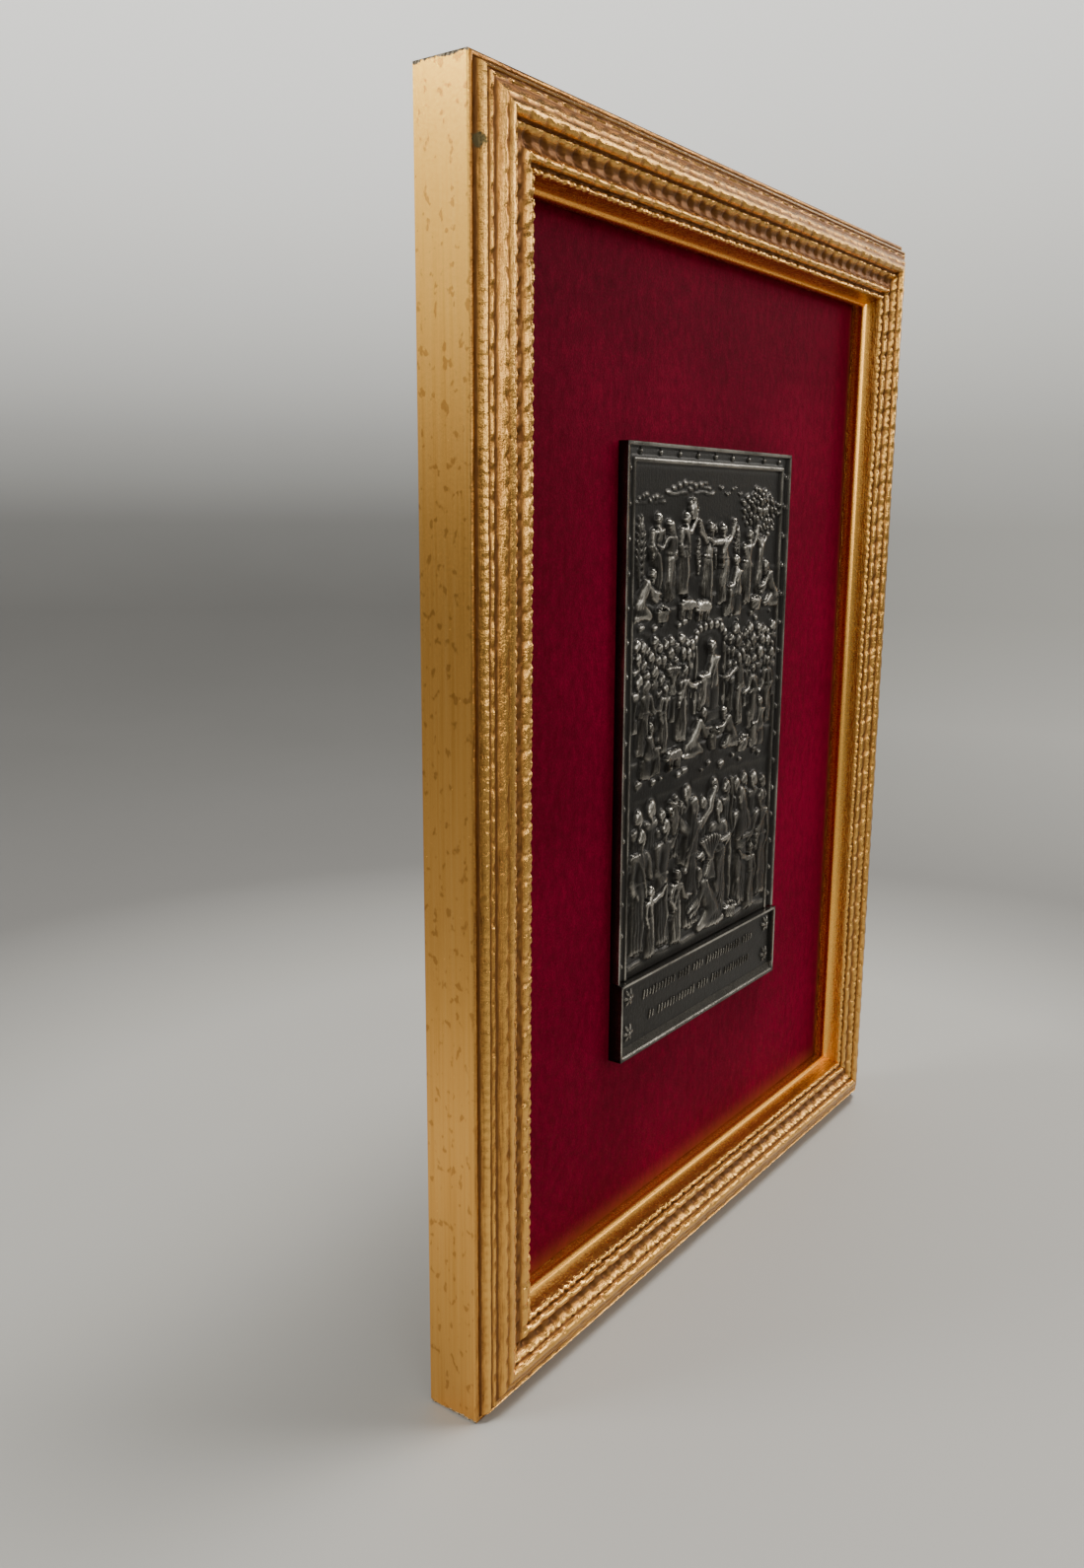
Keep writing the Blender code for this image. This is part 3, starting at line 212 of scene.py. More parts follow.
def add_piece(name, points, faces, sharp_angle):
    """A closed mesh object that rides on the frame's one body; edges sharper than the angle stay crisp."""
    mesh = bpy.data.meshes.new(name)
    mesh.from_pydata(np.asarray(points).reshape(-1, 3).tolist(), [], faces)
    if signed_volume(mesh) < 0:
        mesh.flip_normals()
    mesh.shade_smooth()
    mesh.set_sharp_from_angle(angle=math.radians(sharp_angle))
    piece = add_object(name, mesh)
    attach(piece, "root")
    print(f"{name}: {len(mesh.loop_triangles)} triangles, {signed_volume(mesh) * 1e6:.2f} cubic centimetres")
    return piece


def paint_points(piece, name, values):
    """Stores one number for each point of a piece, for its material to read."""
    layer = piece.data.attributes.new(name, "FLOAT", "POINT")
    layer.data.foreach_set("value", np.asarray(values, np.float32).ravel())


# %% [markdown]
# ## The section of the moulding
#
# The rails are wood under gesso and leaf. From the outer edge inwards the section climbs over a steep band, a
# bead and a slope to a broad crest, falls over a reed, a hollow, a high bead and a low one, and ends in a
# smooth step to the narrow lip that holds the velvet. A section could be drawn as a Bezier curve, but
# corner cutting is simpler to compute: every corner of a polygon is replaced by two points, a quarter of
# the way along its sides. Done twice, it leaves ridges as softly rounded as gesso makes them.

# %% Draw the section
side_depth = 15.2 * MM
moulding_width = 22.6 * MM
rebate_depth = 7.4 * MM
rebate_line = 19.6 * MM

# In millimetres: how far in from the outer edge, and how far forward of the rail's side.
front_corners = np.array([
    (0.00, -1.20), (0.00, -0.12), (0.12, 0.05), (0.60, 0.22), (1.05, 0.32), (1.25, -0.20), (1.45, 0.10),
    (1.70, 0.75), (2.20, 1.75), (2.75, 2.45), (3.10, 2.60), (3.35, 2.15), (3.60, 2.25), (3.95, 3.00),
    (4.45, 3.15), (4.80, 2.70), (5.20, 3.00), (6.10, 3.75), (6.90, 4.35), (7.40, 4.60), (7.75, 4.30),
    (8.10, 4.55), (8.90, 5.00), (9.80, 5.00), (10.50, 4.55), (10.85, 3.50), (11.00, 2.75), (11.35, 3.25),
    (11.85, 3.78), (12.35, 3.45),
    (12.90, 2.60), (13.60, 1.95), (14.60, 1.80), (15.60, 1.98), (16.20, 2.50), (16.80, 3.20), (17.60, 3.40),
    (18.15, 2.80), (18.42, 1.60), (18.70, 1.35), (19.05, 1.95), (19.50, 2.30), (20.00, 2.25), (20.35, 1.40),
    (20.60, 0.10), (20.85, -1.20), (21.15, -2.20), (21.55, -3.00), (21.90, -3.40), (22.12, -3.22),
    (22.38, -3.25), (22.56, -3.60),
    (22.60, -4.05), (22.62, -4.70), (22.40, -5.00), (22.06, -5.10), (22.06, -5.60),
]) * MM


def cut_corners(points):
    """Replaces each corner by the points a quarter and three quarters of the way to the next."""
    here, after = points[:-1], points[1:]
    cut = np.stack([0.75 * here + 0.25 * after, 0.25 * here + 0.75 * after], axis=1).reshape(-1, 2)
    return np.vstack([points[:1], cut, points[-1:]])


def spread_evenly(points, count):
    """Points at even steps of length along a line of points."""
    run = np.concatenate([[0.0], np.cumsum(np.hypot(*np.diff(points, axis=0).T))])
    at = np.linspace(0.0, run[-1], count)
    return np.stack([np.interp(at, run, points[:, 0]), np.interp(at, run, points[:, 1])], axis=1)


section_front = spread_evenly(cut_corners(cut_corners(front_corners)), 84)
print(f"section: {len(section_front)} points, {section_front[:, 1].max() / MM:.2f} mm at its highest")

# %% [markdown]
# ## The ripples
#
# Such frames are called ripple frames: while the gesso was soft, a shaped tool was pressed along it at an
# even pitch. The ripple is a depth that depends on two things: how far across the section a point lies, and
# how far along the rail. Each row has a window across the section and one repeated notch along it. A narrow
# notch leaves beads standing, and a wide one leaves teeth between scoops. Each row is shifted along by a
# share of the pitch, because the tool slants. A few slow waves, different for each rail, keep the hand in it.

# %% Cut the ripples
notch_pitch = 6.4 * MM

# Each row: its middle and half width across in mm, its depth in mm, how many notches it has to each pitch,
# the width and shift of a notch as shares of one notch, and how far the notches slant for each mm across.
ripple_rows = [
    (2.30, 0.80, 0.12, 2.5, 0.60, 0.10, 0.10),
    (4.20, 0.70, 0.34, 1.0, 0.50, -0.18, 0.10),
    (7.40, 0.60, 0.25, 1.0, 0.50, 0.30, 0.10),
    (10.30, 0.90, 0.42, 1.0, 0.46, -0.25, 0.06),
    (11.85, 0.85, 0.30, 2.5, 0.60, 0.20, 0.00),
    (13.90, 1.90, 0.80, 1.0, 0.56, 0.00, 0.09),
    (17.90, 2.40, 0.48, 1.0, 0.44, 0.00, 0.07),
    (19.55, 0.95, 0.34, 2.5, 0.62, -0.33, 0.00),
]


def notch(phase, width):
    """A smooth dip once a turn: one at its middle, nought beyond half its width."""
    away = np.abs(phase - np.round(phase)) / (0.5 * width)
    inside = np.clip(1 - away ** 2, 0.0, 1.0)
    return inside ** 1.5


def ripple_depth(inward, along, seed):
    """The sum over the rows of depth x window across x notch along, with slow waves in pitch and depth."""
    stray = 0.05 * np.sin(along * 31.0 + seed) + 0.04 * np.sin(along * 83.0 + 2.1 * seed)
    deep = np.zeros_like(along)
    for k, (centre, half, depth, count, width, shift, slant) in enumerate(ripple_rows):
        offset = inward / MM - centre
        window = np.clip(1 - (offset / half) ** 2, 0.0, 1.0) ** 0.75
        phase = count * (along / notch_pitch + stray) + shift + slant * offset
        uneven = 1 + 0.16 * np.sin(along * 140.0 + 1.7 * k + seed) + 0.10 * np.sin(along * 377.0 + 2.9 * k)
        deep += depth * MM * window * uneven * notch(phase, width)
    return deep


def lattice_noise(across, along, spacing, seed):
    """Random values on a square lattice, joined by the smooth step t^2 (3 - 2t) both ways; from -1 to 1."""
    table = np.random.default_rng(seed).uniform(-1.0, 1.0, (1024, 64))
    i, j = along / spacing + 512, across / spacing + 8
    i0, j0 = np.floor(i).astype(int), np.floor(j).astype(int)
    s, t = i - i0, j - j0
    s, t = s * s * (3 - 2 * s), t * t * (3 - 2 * t)
    near = table[i0, j0] * (1 - s) + table[i0 + 1, j0] * s
    far = table[i0, j0 + 1] * (1 - s) + table[i0 + 1, j0 + 1] * s
    return near * (1 - t) + far * t


sample = np.linspace(0.0, 0.1, 1000)
print(f"deepest notch {ripple_depth(np.full(1000, 13.6 * MM), sample, 0.0).max() / MM:.2f} mm")

# %% [markdown]
# ## The four rails
#
# A rail is the section carried along a straight line, with both ends cut at 45 degrees. The section's points
# run across one axis of a grid and the stations along the rail run down the other. Over the middle two thirds
# the stations are square to the rail, and from there to the ends they fan out until they lie in the mitre.
# The back of the top rail also has the shallow pocket for the hanging strip, so two pairs of stations stand
# close together there, one at each side of its walls.

# %% Build the rails
mitre_gap = 0.04 * MM
pocket_half = 27.0 * MM
pocket_height = 11.6 * MM
pocket_depth = 2.5 * MM
wall_step = 0.01 * MM
station_spacing = 0.40 * MM
carved_from, carved_to = 1.5 * MM, 21.0 * MM
flank_reach = 0.20 * MM
mean_slip = 0.06
pocket_end = rebate_line - pocket_height

outer_wall = np.array([(0.0, 0.0), (0.0, -0.5 * side_depth)])
front_points = np.stack([section_front[:, 0], -side_depth - section_front[:, 1]], axis=1)
back_points = np.array([
    (moulding_width - 0.54 * MM, -rebate_depth),
    (rebate_line, -rebate_depth),
    (rebate_line, 0.0),
    (pocket_end + wall_step, 0.0),
    (pocket_end - wall_step, 0.0),
    (2 * wall_step, 0.0),
])
section = np.vstack([outer_wall, front_points, back_points])
front_end = len(outer_wall) + len(front_points)
column = np.arange(len(section))
in_front = (column >= len(outer_wall)) & (column < front_end)
in_pocket = (column == front_end + 2) | (column == front_end + 3)
print(f"whole section: {len(section)} points, {in_front.sum()} of them in front")


def rail_stations(length, spacing):
    """Even stations over the middle two thirds, and shares from there to the mitre for the rest."""
    reach = length / 3
    inner = np.linspace(-reach, reach, 2 * round(reach / spacing) + 1)
    walls = [side * (pocket_half + step) for side in (-1, 1) for step in (-wall_step, wall_step)]
    inner = np.sort(np.concatenate([inner, walls]))
    outer = np.linspace(0.0, 1.0, round((length / 2 - reach) / spacing) + 1)[1:]
    return reach, inner, outer


def rail_surface(length, spacing, seed, pocket):
    """Section carried along the rail: y is the section's depth, the ripple and the hand's small slips."""
    reach, inner, outer = rail_stations(length, spacing)
    end = length / 2 - section[:, 0] - mitre_gap
    fan = reach + outer[:, None] * (end - reach)
    along = np.vstack([-fan[::-1], np.repeat(inner[:, None], len(section), axis=1), fan])
    inward = np.broadcast_to(section[:, 0], along.shape)
    carved = in_front & (section[:, 0] > carved_from) & (section[:, 0] < carved_to)
    cut = ripple_depth(inward, along, seed) * carved
    slips = 0.09 * lattice_noise(inward, along / 2, 2.0 * MM, int(10 * seed))
    slips += 0.06 * lattice_noise(inward, along / 3, 0.8 * MM, int(10 * seed) + 1)
    depth = section[:, 1] + cut + (slips + mean_slip) * MM * carved
    if pocket:
        floor_here = in_pocket & (np.abs(along) < pocket_half)
        depth = np.where(floor_here, -pocket_depth, depth)
    return along, depth, inward, cut


def sunk_depth(depth, spread):
    """How far each point of the front lies behind the mean of its neighbours, along the rail and across."""
    front = depth[:, in_front]
    reach = np.arange(-spread, spread + 1)
    across = np.clip(np.arange(front.shape[1])[:, None] + reach, 0, front.shape[1] - 1)
    beside = np.clip(np.arange(len(front))[:, None] + reach, 0, len(front) - 1)
    mean = front[:, across].mean(axis=2)
    mean = mean[beside].mean(axis=1)
    sunk = np.zeros_like(depth)
    sunk[:, in_front] = front - mean
    return np.where((section[:, 0] > 0.9 * MM) & (section[:, 0] < 21.4 * MM), sunk, 0.0)


def add_rail(name, length, place, seed, pocket=False):
    """One rail: the grid closed round the section, an n-gon on each mitre, then turned into its place."""
    along, depth, inward, cut = rail_surface(length, station_spacing, seed, pocket)
    stations, across = along.shape
    x, z = place(along, inward)
    points = np.stack([x, depth, z], axis=-1)
    number = np.arange(points.size // 3).reshape(stations, across)
    beside = np.roll(number, -1, axis=1)
    quads = np.stack([number[:-1], beside[:-1], beside[1:], number[1:]], axis=-1).reshape(-1, 4)
    ends = [number[0].tolist()[::-1], number[-1].tolist()]
    rail = add_piece(name, points, [*quads.tolist(), *ends], 50)
    narrow = sunk_depth(depth - cut, 3) / (0.28 * MM)
    broad = sunk_depth(depth - cut, 8) / (0.70 * MM)
    paint_points(rail, "recess", np.clip(np.maximum(narrow, 0.6 * broad), 0.0, 1.0) + 0.7 * cut / MM)
    paint_points(rail, "ridge", np.clip(-sunk_depth(depth, 4) / (0.30 * MM), 0.0, 1.0))
    paint_points(rail, "burnished", in_front * np.clip((inward / MM - 20.3) / 1.2, 0.0, 1.0))
    paint_points(rail, "flank", inward < flank_reach)
    paint_points(rail, "to_end", np.clip((np.abs(along).max() - np.abs(along)) / MM, 0.0, 20.0))
    bare = (depth > -0.1 * MM) & (inward > wall_step) | (np.abs(inward - rebate_line) < wall_step)
    paint_points(rail, "bare", bare)
    run = np.concatenate([[0.0], np.cumsum(np.hypot(*np.diff(section, axis=0).T))])
    flat = np.stack([along, np.broadcast_to(run, along.shape)], axis=-1).reshape(-1, 2)
    corner = np.empty(len(rail.data.loops), np.int32)
    rail.data.loops.foreach_get("vertex_index", corner)
    rail.data.uv_layers.new(name="along").data.foreach_set("uv", flat[corner].astype(np.float32).ravel())
    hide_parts("frame_" + name)
    return rail


outer_left, outer_right = cad_low.x, cad_high.x
outer_bottom, outer_top = cad_low.z, cad_high.z
middle_z = (outer_bottom + outer_top) / 2
frame_width, frame_height = outer_right - outer_left, outer_top - outer_bottom
rails = [
    add_rail("rail_bottom", frame_width, lambda a, u: (a, outer_bottom + u), 0.4),
    add_rail("rail_top", frame_width, lambda a, u: (-a, outer_top - u), 1.9, pocket=True),
    add_rail("rail_left", frame_height, lambda a, u: (outer_left + u, middle_z - a), 3.3),
    add_rail("rail_right", frame_height, lambda a, u: (outer_right - u, middle_z + a), 5.2),
]

# %% [markdown]
# ## The velvet
#
# The ground of the plaque is crimson velvet, stretched over a board and held by the frame's lip. Cloth that
# lies flat needs no simulation. Its pile does need something: brushed one way and pressed another, it
# leaves low, soft swells, and these catch the light before any shader does. The surface is a grid whose
# height is a sum of a few slow waves that cross at odd angles, and the flat back and four edges close it.

# %% Stretch the velvet
velvet_low, velvet_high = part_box("velvet")
pile_front = velvet_low.y - 0.22 * MM
pile_swell = 0.030 * MM


def pile_height(x, z):
    """A sum of seven sine waves at angles of 2.4 radians to each other, each finer than the last."""
    total = np.zeros_like(x)
    for k in range(7):
        turn = 2.4 * k + 0.7
        wave_length = (14.0, 9.0, 6.1, 4.7, 3.6, 2.9, 2.3)[k] * MM
        total += np.sin(math.tau * (x * math.cos(turn) + z * math.sin(turn)) / wave_length + 1.3 * k)
    return pile_swell * total / 3


def add_slab(name, x_lines, z_lines, front, back_y, sharp_angle):
    """A closed slab: a grid of heights in front, a flat back, and a wall round the edge that joins them."""
    x, z = np.meshgrid(x_lines, z_lines)
    rows, columns = x.shape
    number = np.arange(x.size).reshape(rows, columns)
    edge = np.concatenate([number[0], number[1:, -1], number[-1, -2::-1], number[-2:0:-1, 0]])
    face = np.stack([x, front(x, z), z], axis=-1).reshape(-1, 3)
    rear = face[edge].copy()
    rear[:, 1] = back_y
    behind = x.size + np.arange(len(edge))
    wall = np.stack([edge, behind, np.roll(behind, -1), np.roll(edge, -1)], axis=1)
    faces = [*grid_quads(rows, columns).tolist(), *wall.tolist(), behind.tolist()]
    return add_piece(name, np.vstack([face, rear]), faces, sharp_angle)


velvet = add_slab(
    "velvet_cloth",
    np.linspace(velvet_low.x, velvet_high.x, 161),
    np.linspace(velvet_low.z, velvet_high.z, 225),
    lambda x, z: pile_front + pile_height(x, z),
    velvet_high.y,
    60,
)
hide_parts("velvet")

# %% [markdown]
# ## How a relief is built up
#
# The plaque is a casting whose figures stand less than two millimetres off their ground. Such a relief is one
# height over a flat plate, so each form is a height function on the grid, and no form needs its own mesh.
# A sculptor could model it by hand in Sculpt mode. A function is chosen here, because it can be worked out
# again at any size. Two forms are enough for people, beasts and trees: a tapered bar with a round section,
# height = lift x sqrt(1 - (distance / radius)^2), and a hanging cloth with folds that deepen downwards.
#
# The forms of one figure run softly into each other on a layer. The layer is then laid over what is there,
# with a dip round its outline, as a modeller presses the ground in round a figure to make it stand out.

# %% Height forms


def soft_step(value, width):
    """0 below zero, 1 above the width, and a smooth rise between them."""
    t = np.clip(value / width, 0.0, 1.0)
    return t * t * (3 - 2 * t)


class Relief:
    """A ground that figures are raised on, one in front of the other.

    x runs across from the middle of the field and z up from its foot. Places waver a little, as a
    modeller's hand does.
    """

    def __init__(self, x, z, rise):
        waver = 0.09 * rise
        across, upward = x / rise, z / rise
        self.x = x + waver * (np.sin(1.3 * upward + 0.6) + 0.6 * np.sin(2.9 * across + 1.16 * upward))
        self.z = z + waver * (np.sin(1.1 * across + 2.0) + 0.6 * np.sin(2.6 * upward - 1.3 * across))
        self.rise = rise
        self.soft = 0.22 * rise
        self.height = np.zeros_like(x)
        self.start()

    def start(self):
        """Begins an empty layer."""
        self.layer = np.full_like(self.x, -1.0)
        self.edge = np.full_like(self.x, 1.0)

    def merge(self, form, away):
        """Adds a form where away is below zero, running softly into the layer's forms."""
        near = np.clip(1 - np.abs(self.layer - form) / self.soft, 0.0, 1.0)
        swell = np.where(self.layer > 0, 0.25 * self.soft * near ** 2, 0.0)
        joined = np.maximum(self.layer, form) + swell
        self.layer = np.where(away < 0, joined, self.layer)
        self.edge = np.minimum(self.edge, away)

    def limb(self, a, b, radius_a, radius_b, lift):
        """A tapered bar from a to b; its height is that of a rounded section."""
        dx, dz = b[0] - a[0], b[1] - a[1]
        run = max(dx * dx + dz * dz, 1e-12)
        t = np.clip(((self.x - a[0]) * dx + (self.z - a[1]) * dz) / run, 0.0, 1.0)
        away = np.hypot(self.x - a[0] - t * dx, self.z - a[1] - t * dz)
        radius = radius_a + (radius_b - radius_a) * t
        form = lift * self.rise * np.sqrt(np.clip(1 - (away / radius) ** 2, 0.0, 1.0))
        self.merge(form, away - radius)

    def cloth(self, top, hem, half_top, half_hem, lift, folds, swing, depth=0.24):
        """Hanging cloth from top to hem, with rounded folds that deepen and sway towards the hem."""
        dx, dz = hem[0] - top[0], hem[1] - top[1]
        length = math.hypot(dx, dz)
        t = ((self.x - top[0]) * dx + (self.z - top[1]) * dz) / length ** 2
        across = ((self.x - top[0]) * dz - (self.z - top[1]) * dx) / length
        t_in = np.clip(t, 0.0, 1.0)
        half = half_top + (half_hem - half_top) * t_in ** 0.7 + 0.10 * half_top * np.sin(math.pi * t_in)
        s = across / half
        body = np.clip(1 - np.abs(s) ** 2.2, 0.0, 1.0) ** 0.5
        turn = 0.5 * math.pi * folds * (s + swing * t + 0.10 * np.sin(4.0 * t + folds))
        fold = np.abs(np.cos(turn)) ** 0.55
        deep = depth * np.clip(t + 0.12, 0.0, 1.0) ** 0.6
        form = lift * self.rise * body * (1 - deep + deep * fold)
        away = np.maximum((np.abs(s) - 1) * half, np.maximum(-t, t - 1 + 0.03 * (1 - fold)) * length)
        self.merge(form, away)

    def lay(self, base):
        """Sets the layer's forms on the ground at a base height, with a dip round them."""
        dip = 0.26 * self.rise * np.exp(-np.clip(self.edge, 0.0, None) / (0.30 * self.rise))
        self.height = self.height - dip
        raised = base * self.rise + self.layer
        self.height = np.where(self.layer > 0, np.maximum(self.height, raised), self.height)
        self.start()


test_x, test_z = np.meshgrid(np.linspace(-0.005, 0.005, 101), np.linspace(-0.005, 0.005, 101))
test = Relief(test_x, test_z, 2 * MM)
test.limb((-0.002, 0.0), (0.002, 0.0), 0.001, 0.002, 0.8)
test.lay(0.1)
print(f"a test bar stands {test.height.max() / MM:.2f} mm high and dips to {test.height.min() / MM:.2f} mm")

# %% [markdown]
# ## Figures
#
# A robed figure is some twenty bars and cloths. Their places are shares of the figure's height, measured
# towards the side it looks to and up from its foot, so one function gives a tall elder or a child. Arms hang
# from the shoulders at two angles each, counted from straight down. The heads are plain ovals with a chin, a
# nose and hair or a veil, because at three millimetres that is all a casting holds.

# %% Heads and arms


def figure_places(x, z, size, look):
    """Places on a figure: shares of its size towards the side it looks to, and up from its foot."""

    def spot(across, upward):
        return x + across * look * size, z + upward * size

    return spot


def bars(relief, spot, size, lift, rows):
    """Bars of one figure: a row has two places, two radii and a share of the lift."""
    for across_a, up_a, across_b, up_b, radius_a, radius_b, share in rows:
        a, b = spot(across_a, up_a), spot(across_b, up_b)
        relief.limb(a, b, radius_a * size, radius_b * size, share * lift)


def head(relief, x, z, size, look, lift, covered=False):
    """An oval head on its neck, turned to one side, with hair or a covering behind it."""
    back = 0.46 if covered else 0.36
    bars(relief, figure_places(x, z, size, look), size, lift, (
        (-0.10, -0.80, 0.0, -0.30, 0.26, 0.22, 0.80),
        (0.0, 0.10, -0.08, 0.12, 0.37, 0.38, 1.0),
        (0.06, -0.06, 0.09, -0.30, 0.31, 0.19, 0.98),
        (0.19, 0.04, 0.24, -0.10, 0.05, 0.08, 1.06),
        (-0.08, 0.24, -0.26, -0.12, back, back - 0.08, 0.99),
    ))


def arm(relief, shoulder, size, upper, lower, lift):
    """Upper arm and forearm at two angles from straight down, with a loose sleeve and a hand."""

    def swung(start, length, turn):
        return start[0] + length * size * math.sin(turn), start[1] - length * size * math.cos(turn)

    elbow = swung(shoulder, 0.165, upper)
    wrist = swung(elbow, 0.135, lower)
    palm = swung(wrist, 0.035, lower)
    sleeve = (0.5 * (elbow[0] + wrist[0]), 0.5 * (elbow[1] + wrist[1]) - 0.045 * size)
    for a, b, radius_a, radius_b, share in (
        (shoulder, elbow, 0.050, 0.046, 0.80), (elbow, wrist, 0.042, 0.024, 0.90),
        (elbow, sleeve, 0.044, 0.030, 0.80), (wrist, palm, 0.024, 0.018, 0.95),
    ):
        relief.limb(a, b, radius_a * size, radius_b * size, share * lift)


def mantle(relief, chest, hips, size, side, lift):
    """Cloth gathered over one shoulder and across to the other hip, in long folds."""
    for k in range(4):
        a = (chest[0] + side * (0.10 - 0.035 * k) * size, chest[1] + 0.035 * size)
        b = (hips[0] - side * (0.09 + 0.004 * k) * size, hips[1] + (0.10 - 0.055 * k) * size)
        relief.limb(a, b, 0.024 * size, 0.020 * size, (0.96 + 0.02 * (k % 2)) * lift)


test = Relief(test_x, test_z, 2 * MM)
head(test, 0.0, 0.0, 0.004, 1, 0.8)
test.lay(0.1)
print(f"a test head stands {test.height.max() / MM:.2f} mm high")

# %% A standing figure


def standing(relief, x, z, size, look, arms, lean=0.0, base=0.08, folds=6, veil=False, over=0):
    """A robed figure on one leg more than the other; arms holds two pairs of angles."""
    spot = figure_places(x, z, size, look)
    lift, tilt = 0.80, lean * look
    waist = 0.3 * tilt - 0.015
    hips, chest = spot(waist, 0.53), spot(tilt, 0.765)
    toes = ((0.055 * side + 0.03, 0.022, 0.055 * side + 0.08, 0.014, 0.026, 0.018, 0.5) for side in (-1, 1))
    bars(relief, spot, size, lift, toes)
    robe_top = (hips[0], hips[1] + 0.03 * size)
    relief.cloth(robe_top, spot(0.0, 0.03), 0.088 * size, 0.140 * size, 0.84 * lift, folds, 0.30 * look)
    bars(relief, spot, size, lift, (
        (waist + 0.03, 0.51, 0.055, 0.25, 0.062, 0.048, 0.93),
        (0.055, 0.25, 0.03, 0.09, 0.046, 0.030, 0.84),
        (waist, 0.53, tilt, 0.735, 0.088, 0.092, 0.88),
        (tilt - 0.075, 0.777, tilt + 0.075, 0.777, 0.048, 0.048, 0.80),
        (waist - 0.075, 0.585, waist + 0.075, 0.58, 0.016, 0.016, 0.93),
    ))
    if over:
        mantle(relief, chest, hips, size, over, lift)
    if veil:
        veil_top, veil_hem = spot(1.2 * tilt - 0.005, 0.98), spot(waist - 0.07, 0.51)
        relief.cloth(veil_top, veil_hem, 0.045 * size, 0.125 * size, 0.86 * lift, 5, 0.2 * look)
    head(relief, *spot(1.2 * tilt + 0.015, 0.925), 0.125 * size, look, 1.02 * lift, veil)
    for side, (upper, lower) in zip((-1, 1), arms):
        shoulder = (chest[0] + 0.098 * side * size, chest[1] + 0.005 * size)
        arm(relief, shoulder, size, upper, lower, 1.04 * lift)
    relief.lay(base)


test = Relief(test_x, test_z, MM)
standing(test, 0.0, -0.005, 0.009, 1, ((-0.2, 0.9), (0.3, 2.2)))
print(f"a test figure covers {(test.height > 0.1 * MM).mean():.0%} of its field")

# %% Kneeling and seated figures


def kneeling(relief, x, z, size, look, reach, base=0.10, veil=False):
    """A robed figure on its knees, bent forwards, with both arms reaching out."""
    spot = figure_places(x, z, size, look)
    lift = 0.80
    bars(relief, spot, size, lift, ((-0.33, 0.045, -0.38, 0.03, 0.030, 0.020, 0.5),))
    robe_top, hem = spot(-0.15, 0.25), spot(-0.14, 0.005)
    relief.cloth(robe_top, hem, 0.085 * size, 0.215 * size, 0.78 * lift, 7, 0.25 * look)
    bars(relief, spot, size, lift, (
        (-0.13, 0.20, 0.10, 0.065, 0.115, 0.062, 0.90),
        (0.10, 0.065, -0.33, 0.045, 0.058, 0.040, 0.78),
        (-0.13, 0.20, 0.05, 0.44, 0.112, 0.088, 0.92),
        *((0.0, 0.49 - 0.05 * k, -0.11 - 0.05 * k, 0.16, 0.020, 0.026, 0.96) for k in range(3)),
    ))
    head(relief, *spot(0.17, 0.575), 0.125 * size, look, 1.02 * lift, veil)
    for k in range(2):
        upper, lower = look * (reach - 0.35 * k), look * (reach + 0.45 - 0.2 * k)
        arm(relief, spot(0.07 + 0.02 * k, 0.43), size, upper, lower, (1.04 - 0.08 * k) * lift)
    relief.lay(base)


def seated(relief, x, z, size, look, base=0.10, veil=False):
    """A robed figure on a low block, one foot drawn back, the hands over the knees."""
    spot = figure_places(x, z, size, look)
    lift = 0.80
    relief.cloth(spot(-0.09, 0.27), spot(-0.09, 0.0), 0.13 * size, 0.13 * size, 0.50 * lift, 0, 0.0)
    bars(relief, spot, size, lift, ((0.19, 0.03, 0.24, 0.02, 0.028, 0.018, 0.55),))
    lap, hem = spot(0.14, 0.375), spot(0.13, 0.035)
    relief.cloth(lap, hem, 0.070 * size, 0.130 * size, 0.82 * lift, 6, 0.3 * look)
    bars(relief, spot, size, lift, (
        (-0.08, 0.33, 0.16, 0.325, 0.098, 0.066, 0.93),
        (0.16, 0.325, 0.18, 0.10, 0.056, 0.034, 0.88),
        (-0.08, 0.33, -0.05, 0.545, 0.100, 0.090, 0.90),
    ))
    mantle(relief, spot(-0.05, 0.545), spot(-0.08, 0.33), size, -look, 0.98 * lift)
    head(relief, *spot(-0.015, 0.71), 0.125 * size, look, 1.02 * lift, veil)
    arm(relief, spot(-0.02, 0.545), size, 0.5 * look, 1.5 * look, 1.04 * lift)
    relief.lay(base)


def onlookers(relief, left, right, z, size, count, base):
    """A row of people seen to the waist, each a little off the line and turned their own way."""
    for k in range(count):
        x = left + (right - left) * (k + 0.5) / count + 0.06 * size * math.sin(3.1 * k)
        level = z + 0.09 * size * math.sin(2.4 * k + 7 * left / size)
        look = 1 if math.sin(1.7 * k + z / size) > 0 else -1
        spot = figure_places(x, level, size, look)
        relief.cloth(spot(0.0, 0.02), spot(0.0, -0.55), 0.15 * size, 0.20 * size, 0.52, 5, 0.3 * look)
        relief.limb(spot(-0.11, -0.02), spot(0.11, -0.02), 0.075 * size, 0.075 * size, 0.56)
        head(relief, *spot(0.01, 0.175), 0.20 * size, look, 0.74, k % 3 == 1)
        relief.lay(base)


for make, extra in ((kneeling, (0.9,)), (seated, ())):
    test = Relief(test_x, test_z, MM)
    make(test, 0.0, -0.005, 0.009, 1, *extra)
    print(f"{make.__name__}: {(test.height > 0.1 * MM).mean():.0%} of its field")

# %% [markdown]
# ## Trees, gifts and beasts
#
# The same bars make everything else. A crown of leaves is a few dozen short bars set out by the golden angle,
# 137.5 degrees from one to the next, which spreads them evenly without any two in line. Each leaf is laid by
# itself, so that it keeps its own outline. A fleece is a ring of round tufts in one layer.

# %% Trees


